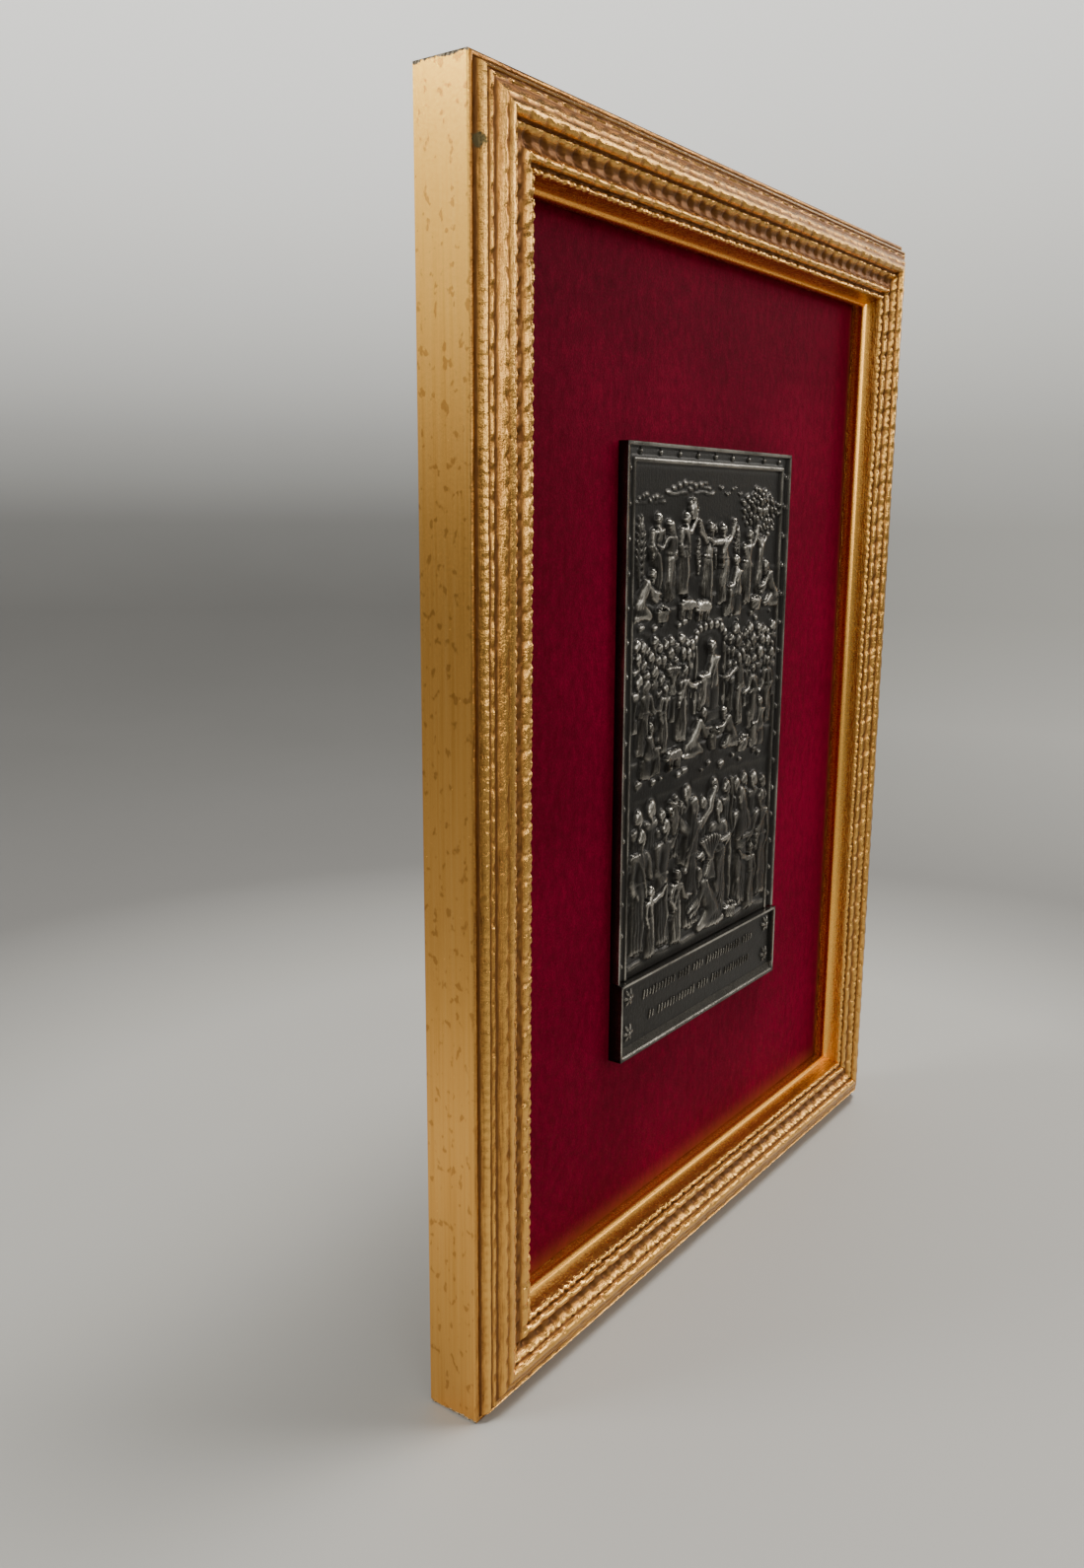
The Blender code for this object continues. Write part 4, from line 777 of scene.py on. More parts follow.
def tree(relief, x, z, height, spread, leaves, base):
    """A trunk with boughs and a crown of leaves set out by the golden angle."""
    fork = (x + 0.08 * spread, z + 0.45 * height)
    bend = (x, z + 0.2 * height)
    relief.limb((x - 0.05 * spread, z), bend, 0.070 * height, 0.045 * height, 0.60)
    relief.limb(bend, fork, 0.045 * height, 0.038 * height, 0.60)
    for turn in (-1.0, -0.35, 0.35, 1.0):
        tip = (fork[0] + 0.6 * spread * math.sin(turn), fork[1] + 0.34 * height * math.cos(turn))
        relief.limb(fork, tip, 0.030 * height, 0.014 * height, 0.46)
    relief.lay(base)
    for k in range(leaves):
        out = math.sqrt((leaves - k - 0.5) / leaves)
        around = k * math.pi * (3 - math.sqrt(5))
        bough = out * (1 + 0.10 * math.sin(5 * around))
        middle = (
            x + 0.90 * spread * bough * math.cos(around),
            z + 0.76 * height + 0.22 * height * bough * math.sin(around),
        )
        turn = around * 1.3
        tip = (middle[0] + 0.12 * spread * math.cos(turn), middle[1] + 0.12 * spread * math.sin(turn))
        relief.limb(middle, tip, 0.080 * spread, 0.035 * spread, 0.36 + 0.20 * (1 - out))
        relief.lay(base + 0.14 * (1 - out))


def cypress(relief, x, z, height, base):
    """A narrow dark tree: tufts that rise on both sides of a stem."""
    relief.limb((x, z), (x, z + 0.15 * height), 0.030 * height, 0.026 * height, 0.40)
    for k in range(9):
        level = z + (0.12 + 0.085 * k) * height
        wide = 0.105 * height * math.sin(math.pi * (k + 1.6) / 11)
        for side in (-1, 1):
            tip = (x + side * wide, level + 0.13 * height)
            relief.limb((x + 0.2 * side * wide, level), tip, 0.036 * height, 0.014 * height, 0.40)
    relief.lay(base)


print("trees and cypresses ready")

# %% Gifts and beasts


def sheaf(relief, x, z, size, base):
    """Stalks tied at the waist, spreading to ears above and to a foot below."""
    for k in range(7):
        lean = 0.15 * (k - 3)
        tip = (x + 0.9 * size * math.sin(lean), z + 0.55 * size + 0.42 * size * math.cos(lean))
        waist = (x + 0.1 * lean * size, z + 0.48 * size)
        relief.limb((x + 0.50 * size * math.sin(lean), z), waist, 0.05 * size, 0.04 * size, 0.46)
        relief.limb(waist, tip, 0.035 * size, 0.075 * size, 0.60)
    spot = figure_places(x, z, size, 1)
    relief.limb(spot(-0.10, 0.48), spot(0.10, 0.48), 0.045 * size, 0.045 * size, 0.66)
    relief.lay(base)


def jar(relief, x, z, size, base):
    """A two-handled jar."""
    bars(relief, figure_places(x, z, size, 1), size, 1.0, (
        (0.0, 0.12, 0.0, 0.48, 0.13, 0.27, 0.72),
        (0.0, 0.55, 0.0, 0.90, 0.20, 0.10, 0.66),
        (-0.10, 0.95, 0.10, 0.95, 0.05, 0.05, 0.66),
        *((0.24 * side, low, out * side, high, 0.04, 0.04, 0.46)
          for side in (-1, 1) for low, out, high in ((0.62, 0.24, 0.82), (0.82, 0.08, 0.90))),
    ))
    relief.lay(base)


def basket(relief, x, z, size, base):
    """A round basket heaped with fruit."""
    spot = figure_places(x, z, size, 1)
    for k in range(-2, 3):
        fruit = spot(0.16 * k, 0.60 - 0.05 * abs(k))
        relief.limb(fruit, fruit, 0.12 * size, 0.12 * size, 0.66)
        relief.lay(base)
    relief.cloth(spot(0.0, 0.45), (x, z), 0.46 * size, 0.32 * size, 0.62, 11, 0.0, 0.35)
    relief.limb(spot(-0.42, 0.44), spot(0.42, 0.44), 0.05 * size, 0.05 * size, 0.70)
    relief.lay(base)


def sheep(relief, x, z, size, look, base):
    """A grazing sheep: a curly fleece on four short legs, the head held low."""
    tufts = ((0.30 * math.cos(2.4 * k), 0.43 + 0.10 * math.sin(2.4 * k)) for k in range(9))
    bars(relief, figure_places(x, z, size, look), size, 1.0, (
        *((leg, 0.0, leg, 0.28, 0.030, 0.05, 0.40) for leg in (-0.27, -0.16, 0.14, 0.25)),
        (-0.20, 0.42, 0.20, 0.44, 0.18, 0.17, 0.70),
        *((*tuft, *tuft, 0.085, 0.085, 0.66) for tuft in tufts),
        (0.30, 0.48, 0.47, 0.33, 0.085, 0.05, 0.80),
    ))
    relief.lay(base)


print("sheaves, jars, baskets and sheep ready")

# %% Ground and sky


def ledge(relief, half, tall, level, wave, slant, turns, lift):
    """A bank of ground: what is below a waving line stands higher, with a soft edge; shares of the field."""
    line = level * tall + wave * tall * np.sin(turns * math.pi * relief.x / half + 0.7)
    line += slant * tall * relief.x / half
    bank = soft_step(line - relief.z, 0.7 * relief.rise)
    fade = soft_step(relief.z - (level * tall - 5 * relief.rise), 5 * relief.rise)
    relief.height = np.maximum(relief.height, lift * relief.rise * bank * fade)


def stones(relief, left, right, z, size, count, base):
    """Low stones and tufts along a stretch of ground."""
    for k in range(count):
        x = left + (right - left) * (k + 0.5 + 0.3 * math.sin(2.7 * k)) / count
        wide = size * (0.8 + 0.4 * math.sin(1.9 * k + 1))
        spot = figure_places(x, z + 0.25 * size * math.sin(3.3 * k), wide, 1)
        relief.limb(spot(-0.22, 0.0), spot(0.22, 0.1), 0.30 * wide, 0.22 * wide, 0.30)
        relief.lay(base)


def clouds(relief, left, right, z, size):
    """A low bank of cloud: rounded puffs over long thin bars."""
    for k in range(3):
        shift = (right - left) * 0.12 * k
        level = z + 0.75 * size * k
        end = (right - 0.7 * shift, level + 0.2 * size)
        relief.limb((left + shift, level), end, 0.34 * size, 0.22 * size, 0.22)
        relief.lay(0.0)
    for k in range(5):
        x, level = left + (right - left) * (0.25 + 0.11 * k), z + size * (1.1 + 0.5 * math.sin(2.2 * k))
        relief.limb((x, level), (x + 0.8 * size, level), 0.45 * size, 0.35 * size, 0.22)
        relief.lay(0.0)


def bird(relief, x, z, size):
    """Two wings spread from one point."""
    for side in (-1, 1):
        relief.limb((x, z), (x + 0.5 * side * size, z + 0.22 * size), 0.08 * size, 0.05 * size, 0.30)
    relief.lay(0.0)


def staff(relief, foot, tip, radius, lift):
    """A straight pole."""
    relief.limb(foot, tip, radius, radius, lift)
    relief.lay(0.12)


print("ledges, stones, clouds, birds and staffs ready")

# %% [markdown]
# ## Three registers
#
# The scenes are a harvest feast in three bands: on top gatherers, dancers and a fruit tree on a hillside, in
# the middle a crowd round an elder under a garland, and at the foot a procession with jars and sheaves. What
# is further back is laid first. All places are shares of the field's half width and height.

# %% The upper register


def set_out(relief, half, tall, rows):
    """Lays forms in turn: a row has a maker, its place and size as shares of the field, and the rest."""
    for make, x, z, size, *rest in rows:
        make(relief, x * half, z * tall, size * tall, *rest)


def gather(relief, half, tall, size, people, foot=0.0, **shared):
    """Lays standing figures: a row has a place, a share of the size, a side, two arms and the manner."""
    for x, z, share, look, arms, manner in people:
        standing(relief, x * half, foot + z * tall, share * size, look, arms, **{**shared, **manner})


def upper_register(relief, half, tall):
    """Gatherers on a hillside, dancers in the middle and a fruit tree on the right."""
    clouds(relief, -0.60 * half, 0.02 * half, 0.945 * tall, 0.012 * tall)
    clouds(relief, -0.97 * half, -0.62 * half, 0.925 * tall, 0.009 * tall)
    set_out(relief, half, tall, [(bird, 0.12 + 0.09 * k, 0.955 - 0.010 * (k % 2), 0.018) for k in range(4)])
    ledge(relief, half, tall, 0.800, 0.012, 0.010, 1.2, 0.10)
    set_out(relief, half, tall, [
        (cypress, x, 0.785 + 0.01 * (k % 2), 0.085 + 0.01 * k, 0.0) for k, x in enumerate((-0.18, 0.05, 0.36))
    ])
    ledge(relief, half, tall, 0.742, 0.010, 0.004, 1.6, 0.20)
    set_out(relief, half, tall, (
        (tree, 0.70, 0.735, 0.230, 0.30 * half, 60, 0.06),
        (cypress, -0.91, 0.745, 0.165, 0.0),
    ))
    size = 0.165
    gather(relief, half, tall, size * tall, (
        (-0.72, 0.744, 1.00, 1, ((-0.2, 0.9), (0.3, 2.2)), dict(lean=0.01, over=1)),
        (-0.55, 0.738, 0.95, -1, ((-0.8, -1.9), (0.1, -0.9)), dict(lean=-0.02, veil=True)),
        (-0.38, 0.744, 1.00, 1, ((-0.3, 0.6), (2.5, 2.9)), dict(lean=0.03, over=-1)),
        (-0.06, 0.724, 1.02, 1, ((-2.2, -2.7), (1.5, 1.9)), dict(lean=0.05, folds=7)),
        (0.18, 0.722, 1.00, -1, ((-1.6, -1.9), (2.4, 2.8)), dict(lean=-0.05, folds=7, over=1)),
        (0.50, 0.718, 0.95, 1, ((0.3, 0.8), (2.6, 2.9)), dict(lean=0.05)),
    ))
    set_out(relief, half, tall, (
        (jar, -0.285, 0.895, 0.045, 0.25),
        (kneeling, 0.87, 0.706, 0.95 * size, -1, 0.9, 0.10, True),
        (basket, 0.66, 0.702, 0.050, 0.22),
        (kneeling, -0.86, 0.704, 0.95 * size, 1, 1.0),
        (basket, -0.63, 0.698, 0.048, 0.22),
        (seated, 0.33, 0.696, 0.98 * size, -1),
        (sheep, -0.33, 0.700, 0.068, 1, 0.22),
        (sheep, -0.10, 0.692, 0.070, -1, 0.26),
    ))
    stones(relief, -0.95 * half, 0.95 * half, 0.690 * tall, 0.022 * tall, 13, 0.10)


print("upper register: six standing, two kneeling, one seated")

# %% The middle register


def middle_crowd(relief, half, tall, size):
    """Three rows of onlookers on each side, nearer and larger from row to row."""
    rows = ((0.632, 0.90, 11, 10, 0.02), (0.604, 1.00, 9, 9, 0.10), (0.572, 1.08, 7, 7, 0.18))
    for k, (level, share, on_left, on_right, base) in enumerate(rows):
        left_end, right_end = (-0.20 - 0.05 * k) * half, (0.28 + 0.02 * k) * half
        onlookers(relief, -0.97 * half, left_end, level * tall, share * size, on_left, base)
        onlookers(relief, right_end, 0.98 * half, (level + 0.002) * tall, share * size, on_right, base)


def garlanded_seat(relief, half, tall, size):
    """An elder on three steps, between two poles that carry a garland."""
    x = 0.02 * half
    for k in range(3):
        step_half = (0.27 - 0.05 * k) * half
        top, foot = (0.478 + 0.016 * k) * tall, (0.450 + 0.016 * k) * tall
        relief.cloth((x, top), (x, foot), step_half, step_half, 0.40 + 0.08 * k, 0, 0.0)
        relief.lay(0.08)
    for side in (-1, 1):
        pole = x + 0.20 * side * half
        staff(relief, (pole, 0.505 * tall), (pole, 0.655 * tall), 0.0050 * tall, 0.40)
    for k in range(9):
        turn = math.pi * k / 8
        place = (x + 0.21 * half * math.cos(turn), (0.655 + 0.028 * math.sin(turn)) * tall)
        relief.limb(place, place, 0.010 * tall, 0.010 * tall, 0.44)
        relief.lay(0.06)
    seated(relief, x, 0.505 * tall, 1.50 * size, -1, base=0.20)


def middle_register(relief, half, tall):
    """A crowd in rows round an elder on a stepped seat, with people sitting and bringing gifts."""
    ledge(relief, half, tall, 0.676, 0.006, -0.004, 2.1, 0.10)
    size = 0.125
    middle_crowd(relief, half, tall, size * tall)
    garlanded_seat(relief, half, tall, size * tall)
    gather(relief, half, tall, size * tall, (
        (-0.37, 0.452, 1.26, 1, ((0.1, 0.9), (1.2, 1.7)), dict(lean=0.03, over=1)),
        (0.43, 0.456, 1.28, -1, ((-1.2, -1.6), (-0.1, -1.0)), dict(lean=-0.03, veil=True)),
        (-0.85, 0.440, 1.22, 1, ((0.4, 1.2), (0.3, 1.3)), dict(lean=0.04, veil=True)),
        (-0.61, 0.436, 1.15, 1, ((-0.2, 0.4), (2.5, 2.8)), dict(lean=0.02)),
        (0.67, 0.440, 1.18, -1, ((-0.5, -1.4), (-0.3, -1.2)), dict(lean=-0.04, over=-1)),
        (0.88, 0.444, 1.24, -1, ((-0.3, -0.9), (0.2, -0.8)), dict(lean=-0.02)),
    ), base=0.18)
    sheaf(relief, -0.50 * half, 0.555 * tall, 0.055 * tall, 0.30)
    ledge(relief, half, tall, 0.442, 0.006, 0.006, 1.3, 0.26)
    set_out(relief, half, tall, (
        (kneeling, -0.15, 0.414, 1.22 * size, 1, 1.1, 0.22, True),
        (kneeling, 0.30, 0.412, 1.18 * size, -1, 1.1, 0.22),
        (jar, 0.075, 0.416, 0.050, 0.28),
        (seated, -0.76, 0.396, 1.16 * size, 1, 0.24),
        (sheep, -0.45, 0.400, 0.072, -1, 0.26),
        (seated, 0.76, 0.398, 1.14 * size, -1, 0.24, True),
        (basket, 0.53, 0.398, 0.054, 0.26),
    ))
    stones(relief, -0.95 * half, 0.95 * half, 0.385 * tall, 0.024 * tall, 12, 0.12)


print("middle register: a crowd, six standing, two kneeling, three seated")

# %% The lower register


def lower_register(relief, half, tall):
    """A procession of large robed figures with children, jars and sheaves."""
    ledge(relief, half, tall, 0.368, 0.004, 0.004, 1.0, 0.12)
    size = 0.272
    for k, (x, count) in enumerate(((-0.72, 3), (-0.33, 2), (0.06, 2), (0.40, 2), (0.74, 3))):
        left, right = (x - 0.075 * count) * half, (x + 0.075 * count) * half
        onlookers(relief, left, right, (0.292 + 0.008 * (k % 2)) * tall, 0.58 * size * tall, count, 0.0)
    foot, low = 0.036, 0.022
    gather(relief, half, tall, size * tall, (
        (-0.87, 0.000, 0.97, 1, ((-0.2, 0.5), (0.4, 1.5)), dict(lean=0.02, base=0.12, folds=7, over=-1)),
        (-0.57, -0.004, 1.01, 1, ((-0.1, 0.9), (2.5, 2.9)), dict(lean=0.02, folds=8)),
        (-0.16, 0.004, 1.06, 1, ((-2.2, -2.6), (2.2, 2.7)), dict(folds=8, veil=True, over=1)),
        (0.22, -0.002, 1.00, -1, ((-0.5, -1.3), (0.2, -0.9)), dict(lean=-0.02, folds=7)),
        (0.56, 0.000, 1.03, -1, ((-0.5, -1.6), (0.4, 0.2)), dict(lean=-0.02, folds=8, veil=True)),
        (0.87, 0.002, 0.95, -1, ((-0.5, -1.5), (0.3, -0.5)), dict(lean=-0.01, base=0.12, folds=7, over=1)),
    ), foot * tall, base=0.14)
    set_out(relief, half, tall, ((jar, -0.435, 0.262, 0.070, 0.34), (sheaf, 0.085, 0.135, 0.095, 0.36)))
    staff(relief, (0.40 * half, foot * tall), (0.40 * half, 0.340 * tall), 0.0050 * tall, 0.46)
    gather(relief, half, tall, size * tall, (
        (-0.72, low, 0.56, 1, ((-0.2, 0.4), (1.9, 2.4)), {}),
        (-0.37, low, 0.60, 1, ((-0.4, 0.7), (0.5, 1.4)), dict(over=1)),
        (0.71, low, 0.58, -1, ((-1.9, -2.3), (0.2, -0.4)), {}),
    ), base=0.26, folds=5)
    set_out(relief, half, tall, (
        (kneeling, 0.04, low, 0.84 * size, -1, 0.8, 0.24, True),
        (basket, 0.42, low, 0.060, 0.26),
    ))


print("lower register: six standing, three children, one kneeling")

# %% [markdown]
# ## The plaque's border and field
#
# Round the field runs a raised rim, a sunk channel with a row of small domed studs, and a narrow fillet. Each
# is a step in thickness that depends only on how far a point lies from the nearest edge. A stud is a dome,
# height = rise x sqrt(1 - (distance / radius)^2), and rounding the place along the row to whole pitches
# repeats it. Figures and border together make one height.

# %% Height of the plaque
rim_width, channel_width, fillet_width = 1.0 * MM, 2.7 * MM, 1.3 * MM
plaque_thickness, channel_thickness = 3.0 * MM, 1.9 * MM
fillet_thickness, ground_thickness = 2.5 * MM, 1.5 * MM
stud_radius, stud_rise = 0.9 * MM, 0.8 * MM
stud_pitch_across, stud_pitch_down = 10.6 * MM, 9.3 * MM
figure_rise = 1.9 * MM
edge_softness = 0.25 * MM
border_width = rim_width + channel_width + fillet_width

plaque_low, plaque_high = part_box("relief_plaque")
tablet_low, tablet_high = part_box("inscription_tablet")
plaque_width, plaque_height = plaque_high.x - plaque_low.x, plaque_high.z - plaque_low.z
tablet_width, tablet_height = tablet_high.x - tablet_low.x, tablet_high.z - tablet_low.z


def relief_field(x, z, half, tall):
    """Height of the figures over the field's ground; the tallest forms are eased by a tanh."""
    relief = Relief(x, z, figure_rise)
    for register in (upper_register, middle_register, lower_register):
        register(relief, half, tall)
    ledge(relief, half, tall, 0.030, 0.002, 0.0, 3.0, 0.40)
    level = relief.height / figure_rise
    eased = np.where(level > 0.75, 0.75 + 0.30 * np.tanh((level - 0.75) / 0.30), level)
    return figure_rise * np.maximum(eased, -0.30)


def stud_row(along, across, length, pitch, line):
    """Domes on a line across = line, spread evenly along a length."""
    count = max(2, round(length / pitch))
    spacing = length / count
    nearest = (np.clip(np.round(along / spacing - 0.5), 0, count - 1) + 0.5) * spacing
    away = np.hypot(along - nearest, across - line) / stud_radius
    return stud_rise * np.sqrt(np.clip(1 - away ** 2, 0.0, 1.0))


def plaque_border(x, z):
    """Thickness of the plate, rim, channel, studs and fillet; and how far each point is from the edge."""
    half = plaque_width / 2
    inset = np.minimum(half - np.abs(x), plaque_height - z)
    thickness = np.full_like(x, plaque_thickness)
    for before, after, start in (
        (plaque_thickness, channel_thickness, rim_width),
        (channel_thickness, fillet_thickness, rim_width + channel_width),
        (fillet_thickness, ground_thickness, border_width),
    ):
        thickness += (after - before) * soft_step(inset - start, edge_softness)
    line = rim_width + channel_width / 2
    run_across, run_down = plaque_width - 2 * line, plaque_height - line
    for side in (-1, 1):
        thickness += stud_row(z, half - side * x, run_down, stud_pitch_down, line)
    thickness += stud_row(x + half - line, plaque_height - z, run_across, stud_pitch_across, line)
    return thickness, inset


print(f"plaque {plaque_width / MM:.1f} x {plaque_height / MM:.1f} mm, border {border_width / MM:.1f} mm")

# %% [markdown]
# ## The plaque's mesh
#
# The grid is fine enough for a nose and coarse enough to stay well under 200,000 triangles. The material will
# need to know where a cloth would have rubbed the silver bright and where polish never reached. Both follow
# from the height alone: a point that stands above the mean of its surroundings is rubbed, and one below it
# keeps its black. The mean is a box average, worked out twice with running sums so that it is smooth.

# %% Cast the plaque
relief_step = 0.42 * MM


def mean_around(values, reach):
    """Average over a square of points; running sums along each axis, done twice."""
    for _ in range(2):
        for axis in (0, 1):
            pad = [(reach + 1, reach) if side == axis else (0, 0) for side in (0, 1)]
            total = np.cumsum(np.pad(values, pad, mode="edge"), axis=axis)
            width = 2 * reach + 1
            upper, lower = (slice(width, None), slice(None)), (slice(None, -width), slice(None))
            if axis == 1:
                upper, lower = upper[::-1], lower[::-1]
            values = (total[upper] - total[lower]) / width
    return values


def paint_wear(piece, thickness, polished=0.0):
    """Stores rubbed and hollow: how far a point lies above or below its near and wider surroundings."""
    near = thickness - mean_around(thickness, 2)
    wide = thickness - mean_around(thickness, 6)
    rubbed = np.clip(near / (0.16 * MM), 0.0, 1.0) * 0.6 + np.clip(wide / (0.5 * MM), 0.0, 1.0) * 0.5
    hollow = np.clip(-near / (0.16 * MM), 0.0, 1.0) * 0.5 + np.clip(-wide / (0.45 * MM), 0.0, 1.0) * 0.6
    rubbed, hollow = np.maximum(rubbed, polished), np.where(polished > 0.05, 0.0, hollow)
    others = len(piece.data.vertices) - thickness.size
    for name, values, edge_value in (("rubbed", rubbed, 0.2), ("hollow", hollow, 0.3)):
        paint_points(piece, name, np.concatenate([values.ravel(), np.full(others, edge_value)]))


def plaque_thickness_at(x, z):
    """Border and figures together, with the figures held inside the fillet."""
    thickness, inset = plaque_border(x, z)
    figures = relief_field(x, z, plaque_width / 2 - border_width, plaque_height - border_width)
    return thickness + figures * soft_step(inset - border_width, 2 * edge_softness)


def slab_lines(low, high, step):
    """Even lines between two corners of a box, and the grid that they make, counted up from its foot."""
    x_lines = np.linspace(low.x, high.x, round((high.x - low.x) / step) + 1)
    z_lines = np.linspace(low.z, high.z, round((high.z - low.z) / step) + 1)
    grid_x, grid_z = np.meshgrid(x_lines, z_lines)
    return x_lines, z_lines, grid_x, grid_z - low.z


x_lines, z_lines, grid_x, above_foot = slab_lines(plaque_low, plaque_high, relief_step)
plaque_field = plaque_thickness_at(grid_x, above_foot)
metal_back = plaque_high.y
plaque = add_slab("plaque_casting", x_lines, z_lines, lambda x, z: metal_back - plaque_field, metal_back, 70)
paint_wear(plaque, plaque_field)
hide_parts("relief_plaque")

# %% [markdown]
# ## The tablet
#
# Below the plaque a second casting carries two rows of leaning strokes of different lengths, raised a
# little from a sunk field. Their tops are rubbed bright, and so is the slope at the foot. Near each corner a
# six-petalled rosette stands up. In polar form its edge is a circle whose radius swells and shrinks six
# times round.

# %% Cast the tablet
tablet_thickness, tablet_ground, tablet_rim, tablet_slope = (t * MM for t in (4.2, 2.9, 0.8, 2.8))
rosette_radius, rosette_inset, rosette_rise, rosette_petals = 2.9 * MM, 5.4 * MM, 1.2 * MM, 6
rosette_levels = (7.4 * MM, tablet_height - 5.0 * MM)
stroke_height, stroke_width, stroke_rise, stroke_pitch = 3.3 * MM, 0.72 * MM, 0.42 * MM, 1.75 * MM
stroke_rows = ((6.7 * MM, 73.0 * MM, 0.3), (13.9 * MM, 66.0 * MM, 2.0))
tablet_step = 0.26 * MM


def rosette(dx, dz):
    """Petals between six dips of the edge, a groove down each petal's middle, and a round eye."""
    away, turn = np.hypot(dx, dz), np.arctan2(dz, dx)
    lobe = 0.78 + 0.22 * np.cos(rosette_petals * turn)
    petal = np.sqrt(np.clip(1 - (away / (rosette_radius * lobe)) ** 2, 0.0, 1.0))
    groove = 0.16 * np.clip(1 - np.abs(np.sin(0.5 * rosette_petals * turn)) / 0.22, 0.0, 1.0)
    eye = np.sqrt(np.clip(1 - (away / (0.30 * rosette_radius)) ** 2, 0.0, 1.0))
    return rosette_rise * np.maximum(0.72 * petal * (1 - groove), eye)


def stroke_band(x, z, centre_z, length, seed):
    """Leaning strokes: a ridge in each slot, its length changing from slot to slot, and a few gaps."""
    slot = np.round(x / stroke_pitch)
    length_share = 0.62 + 0.38 * np.sin(2.3 * slot + seed) ** 2
    gap = np.sin(1.31 * slot + 2 * seed) > 0.93
    upward = (z - centre_z) / (0.5 * stroke_height * length_share)
    across = (x - slot * stroke_pitch - 0.22 * (z - centre_z)) / (0.5 * stroke_width)
    ridge = np.clip(1 - across ** 2, 0.0, 1.0) ** 0.6 * np.clip(3 - 3 * np.abs(upward), 0.0, 1.0)
    return stroke_rise * ridge * (np.abs(slot * stroke_pitch) < length / 2) * ~gap


def tablet_thickness_at(x, z):
    """The tablet's thickness: a thin rim, a slope at the foot, a flat field and four rosettes."""
    half = tablet_width / 2
    inset = np.minimum(half - np.abs(x), np.minimum(z, tablet_height - z))
    thickness = np.full_like(x, tablet_thickness)
    thickness += (tablet_ground - tablet_thickness) * soft_step(inset - tablet_rim, edge_softness)
    up_slope = np.clip((z - tablet_rim) / tablet_slope, 0.0, 1.0)
    slope_top = 0.8 * (tablet_thickness - tablet_ground)
    thickness = np.maximum(thickness, tablet_ground + slope_top * (1 - up_slope))
    for side in (-1, 1):
        for level in rosette_levels:
            thickness += rosette(x - side * (half - rosette_inset), z - level)
    return thickness


x_lines, z_lines, grid_x, above_foot = slab_lines(tablet_low, tablet_high, tablet_step)
strokes = sum(stroke_band(grid_x, above_foot, tablet_height - drop, length, seed)
              for drop, length, seed in stroke_rows)
tablet_field = tablet_thickness_at(grid_x, above_foot) + strokes
tablet = add_slab("tablet_casting", x_lines, z_lines, lambda x, z: metal_back - tablet_field, metal_back, 70)
on_slope = (above_foot > tablet_rim) & (above_foot < tablet_rim + tablet_slope)
paint_wear(tablet, tablet_field, np.maximum(1.3 * strokes / stroke_rise, 0.55 * on_slope))
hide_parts("inscription_tablet")

# %% [markdown]
# ## Building materials from nodes
#
# Every finish below is a small network of nodes that ends in one Principled shader. A few helpers keep the
# networks readable: one makes an empty material, one adds a node and sets its values, and the rest are the
# sums, noises and ramps that every finish needs. A colour ramp is a node too: it turns a grey value into a
# colour.

# %% Helpers for materials


def new_finish(name, roughness, metallic):
    """A material with a Principled shader; returns the material, its tree and the shader."""
    finish = bpy.data.materials.new(name)
    finish.use_nodes = True
    shader = finish.node_tree.nodes["Principled BSDF"]
    shader.inputs["Roughness"].default_value = roughness
    shader.inputs["Metallic"].default_value = metallic
    return finish, finish.node_tree, shader


def add_node(tree, kind, inputs=None, **settings):
    """A node of that kind, with its settings and the values of its unlinked inputs."""
    node = tree.nodes.new(kind)
    for key, value in settings.items():
        setattr(node, key, value)
    for key, value in (inputs or {}).items():
        if isinstance(value, bpy.types.NodeSocket):
            tree.links.new(value, node.inputs[key])
        else:
            node.inputs[key].default_value = value
    return node


def math_node(tree, operation, first, second=0.5, clamp=False):
    """The result socket of one sum on two values."""
    made = add_node(tree, "ShaderNodeMath", {0: first, 1: second}, operation=operation, use_clamp=clamp)
    return made.outputs[0]


def times(tree, first, second, clamp=False):
    """The product of two values."""
    return math_node(tree, "MULTIPLY", first, second, clamp)


def weighted(tree, *pairs):
    """The sum of values, each times its own weight."""
    total = times(tree, *pairs[0])
    for value, weight in pairs[1:]:
        total = add_node(tree, "ShaderNodeMath", {0: value, 1: weight, 2: total}, operation="MULTIPLY_ADD")
        total = total.outputs[0]
    return total


def noise(tree, place, scale, detail=4.0, roughness=0.55):
    """The grey value of a noise at a place."""
    values = {"Vector": place, "Scale": scale, "Detail": detail, "Roughness": roughness}
    return add_node(tree, "ShaderNodeTexNoise", values).outputs["Fac"]


def stretched(tree, place, scale, turn=0.0):
    """A place turned about its third axis and scaled by three factors, to draw a pattern out along a line."""
    values = {"Vector": place, "Scale": scale, "Rotation": (0.0, 0.0, turn)}
    return add_node(tree, "ShaderNodeMapping", values).outputs["Vector"]


def ramp(tree, value, stops):
    """A colour ramp: each stop is a position and a colour."""
    made = add_node(tree, "ShaderNodeValToRGB", {"Fac": value})
    elements = made.color_ramp.elements
    while len(elements) < len(stops):
        elements.new(0.5)
    for element, (position, colour) in zip(elements, stops):
        element.position = position
        element.color = (*colour, 1.0)
    return made.outputs["Color"]


def window(tree, value, low, high, to_low=0.0, to_high=1.0):
    """A value from low to high mapped onto a new range, and held at its ends."""
    values = {"Value": value, "From Min": low, "From Max": high, "To Min": to_low, "To Max": to_high}
    return add_node(tree, "ShaderNodeMapRange", values).outputs["Result"]


def blend_colour(tree, share, first, second):
    """Two colours mixed by a share from nought to one."""
    first, second = ((*c, 1.0) if isinstance(c, tuple) else c for c in (first, second))
    made = add_node(tree, "ShaderNodeMix", {"Factor": share, 6: first, 7: second}, data_type="RGBA")
    return made.outputs[2]


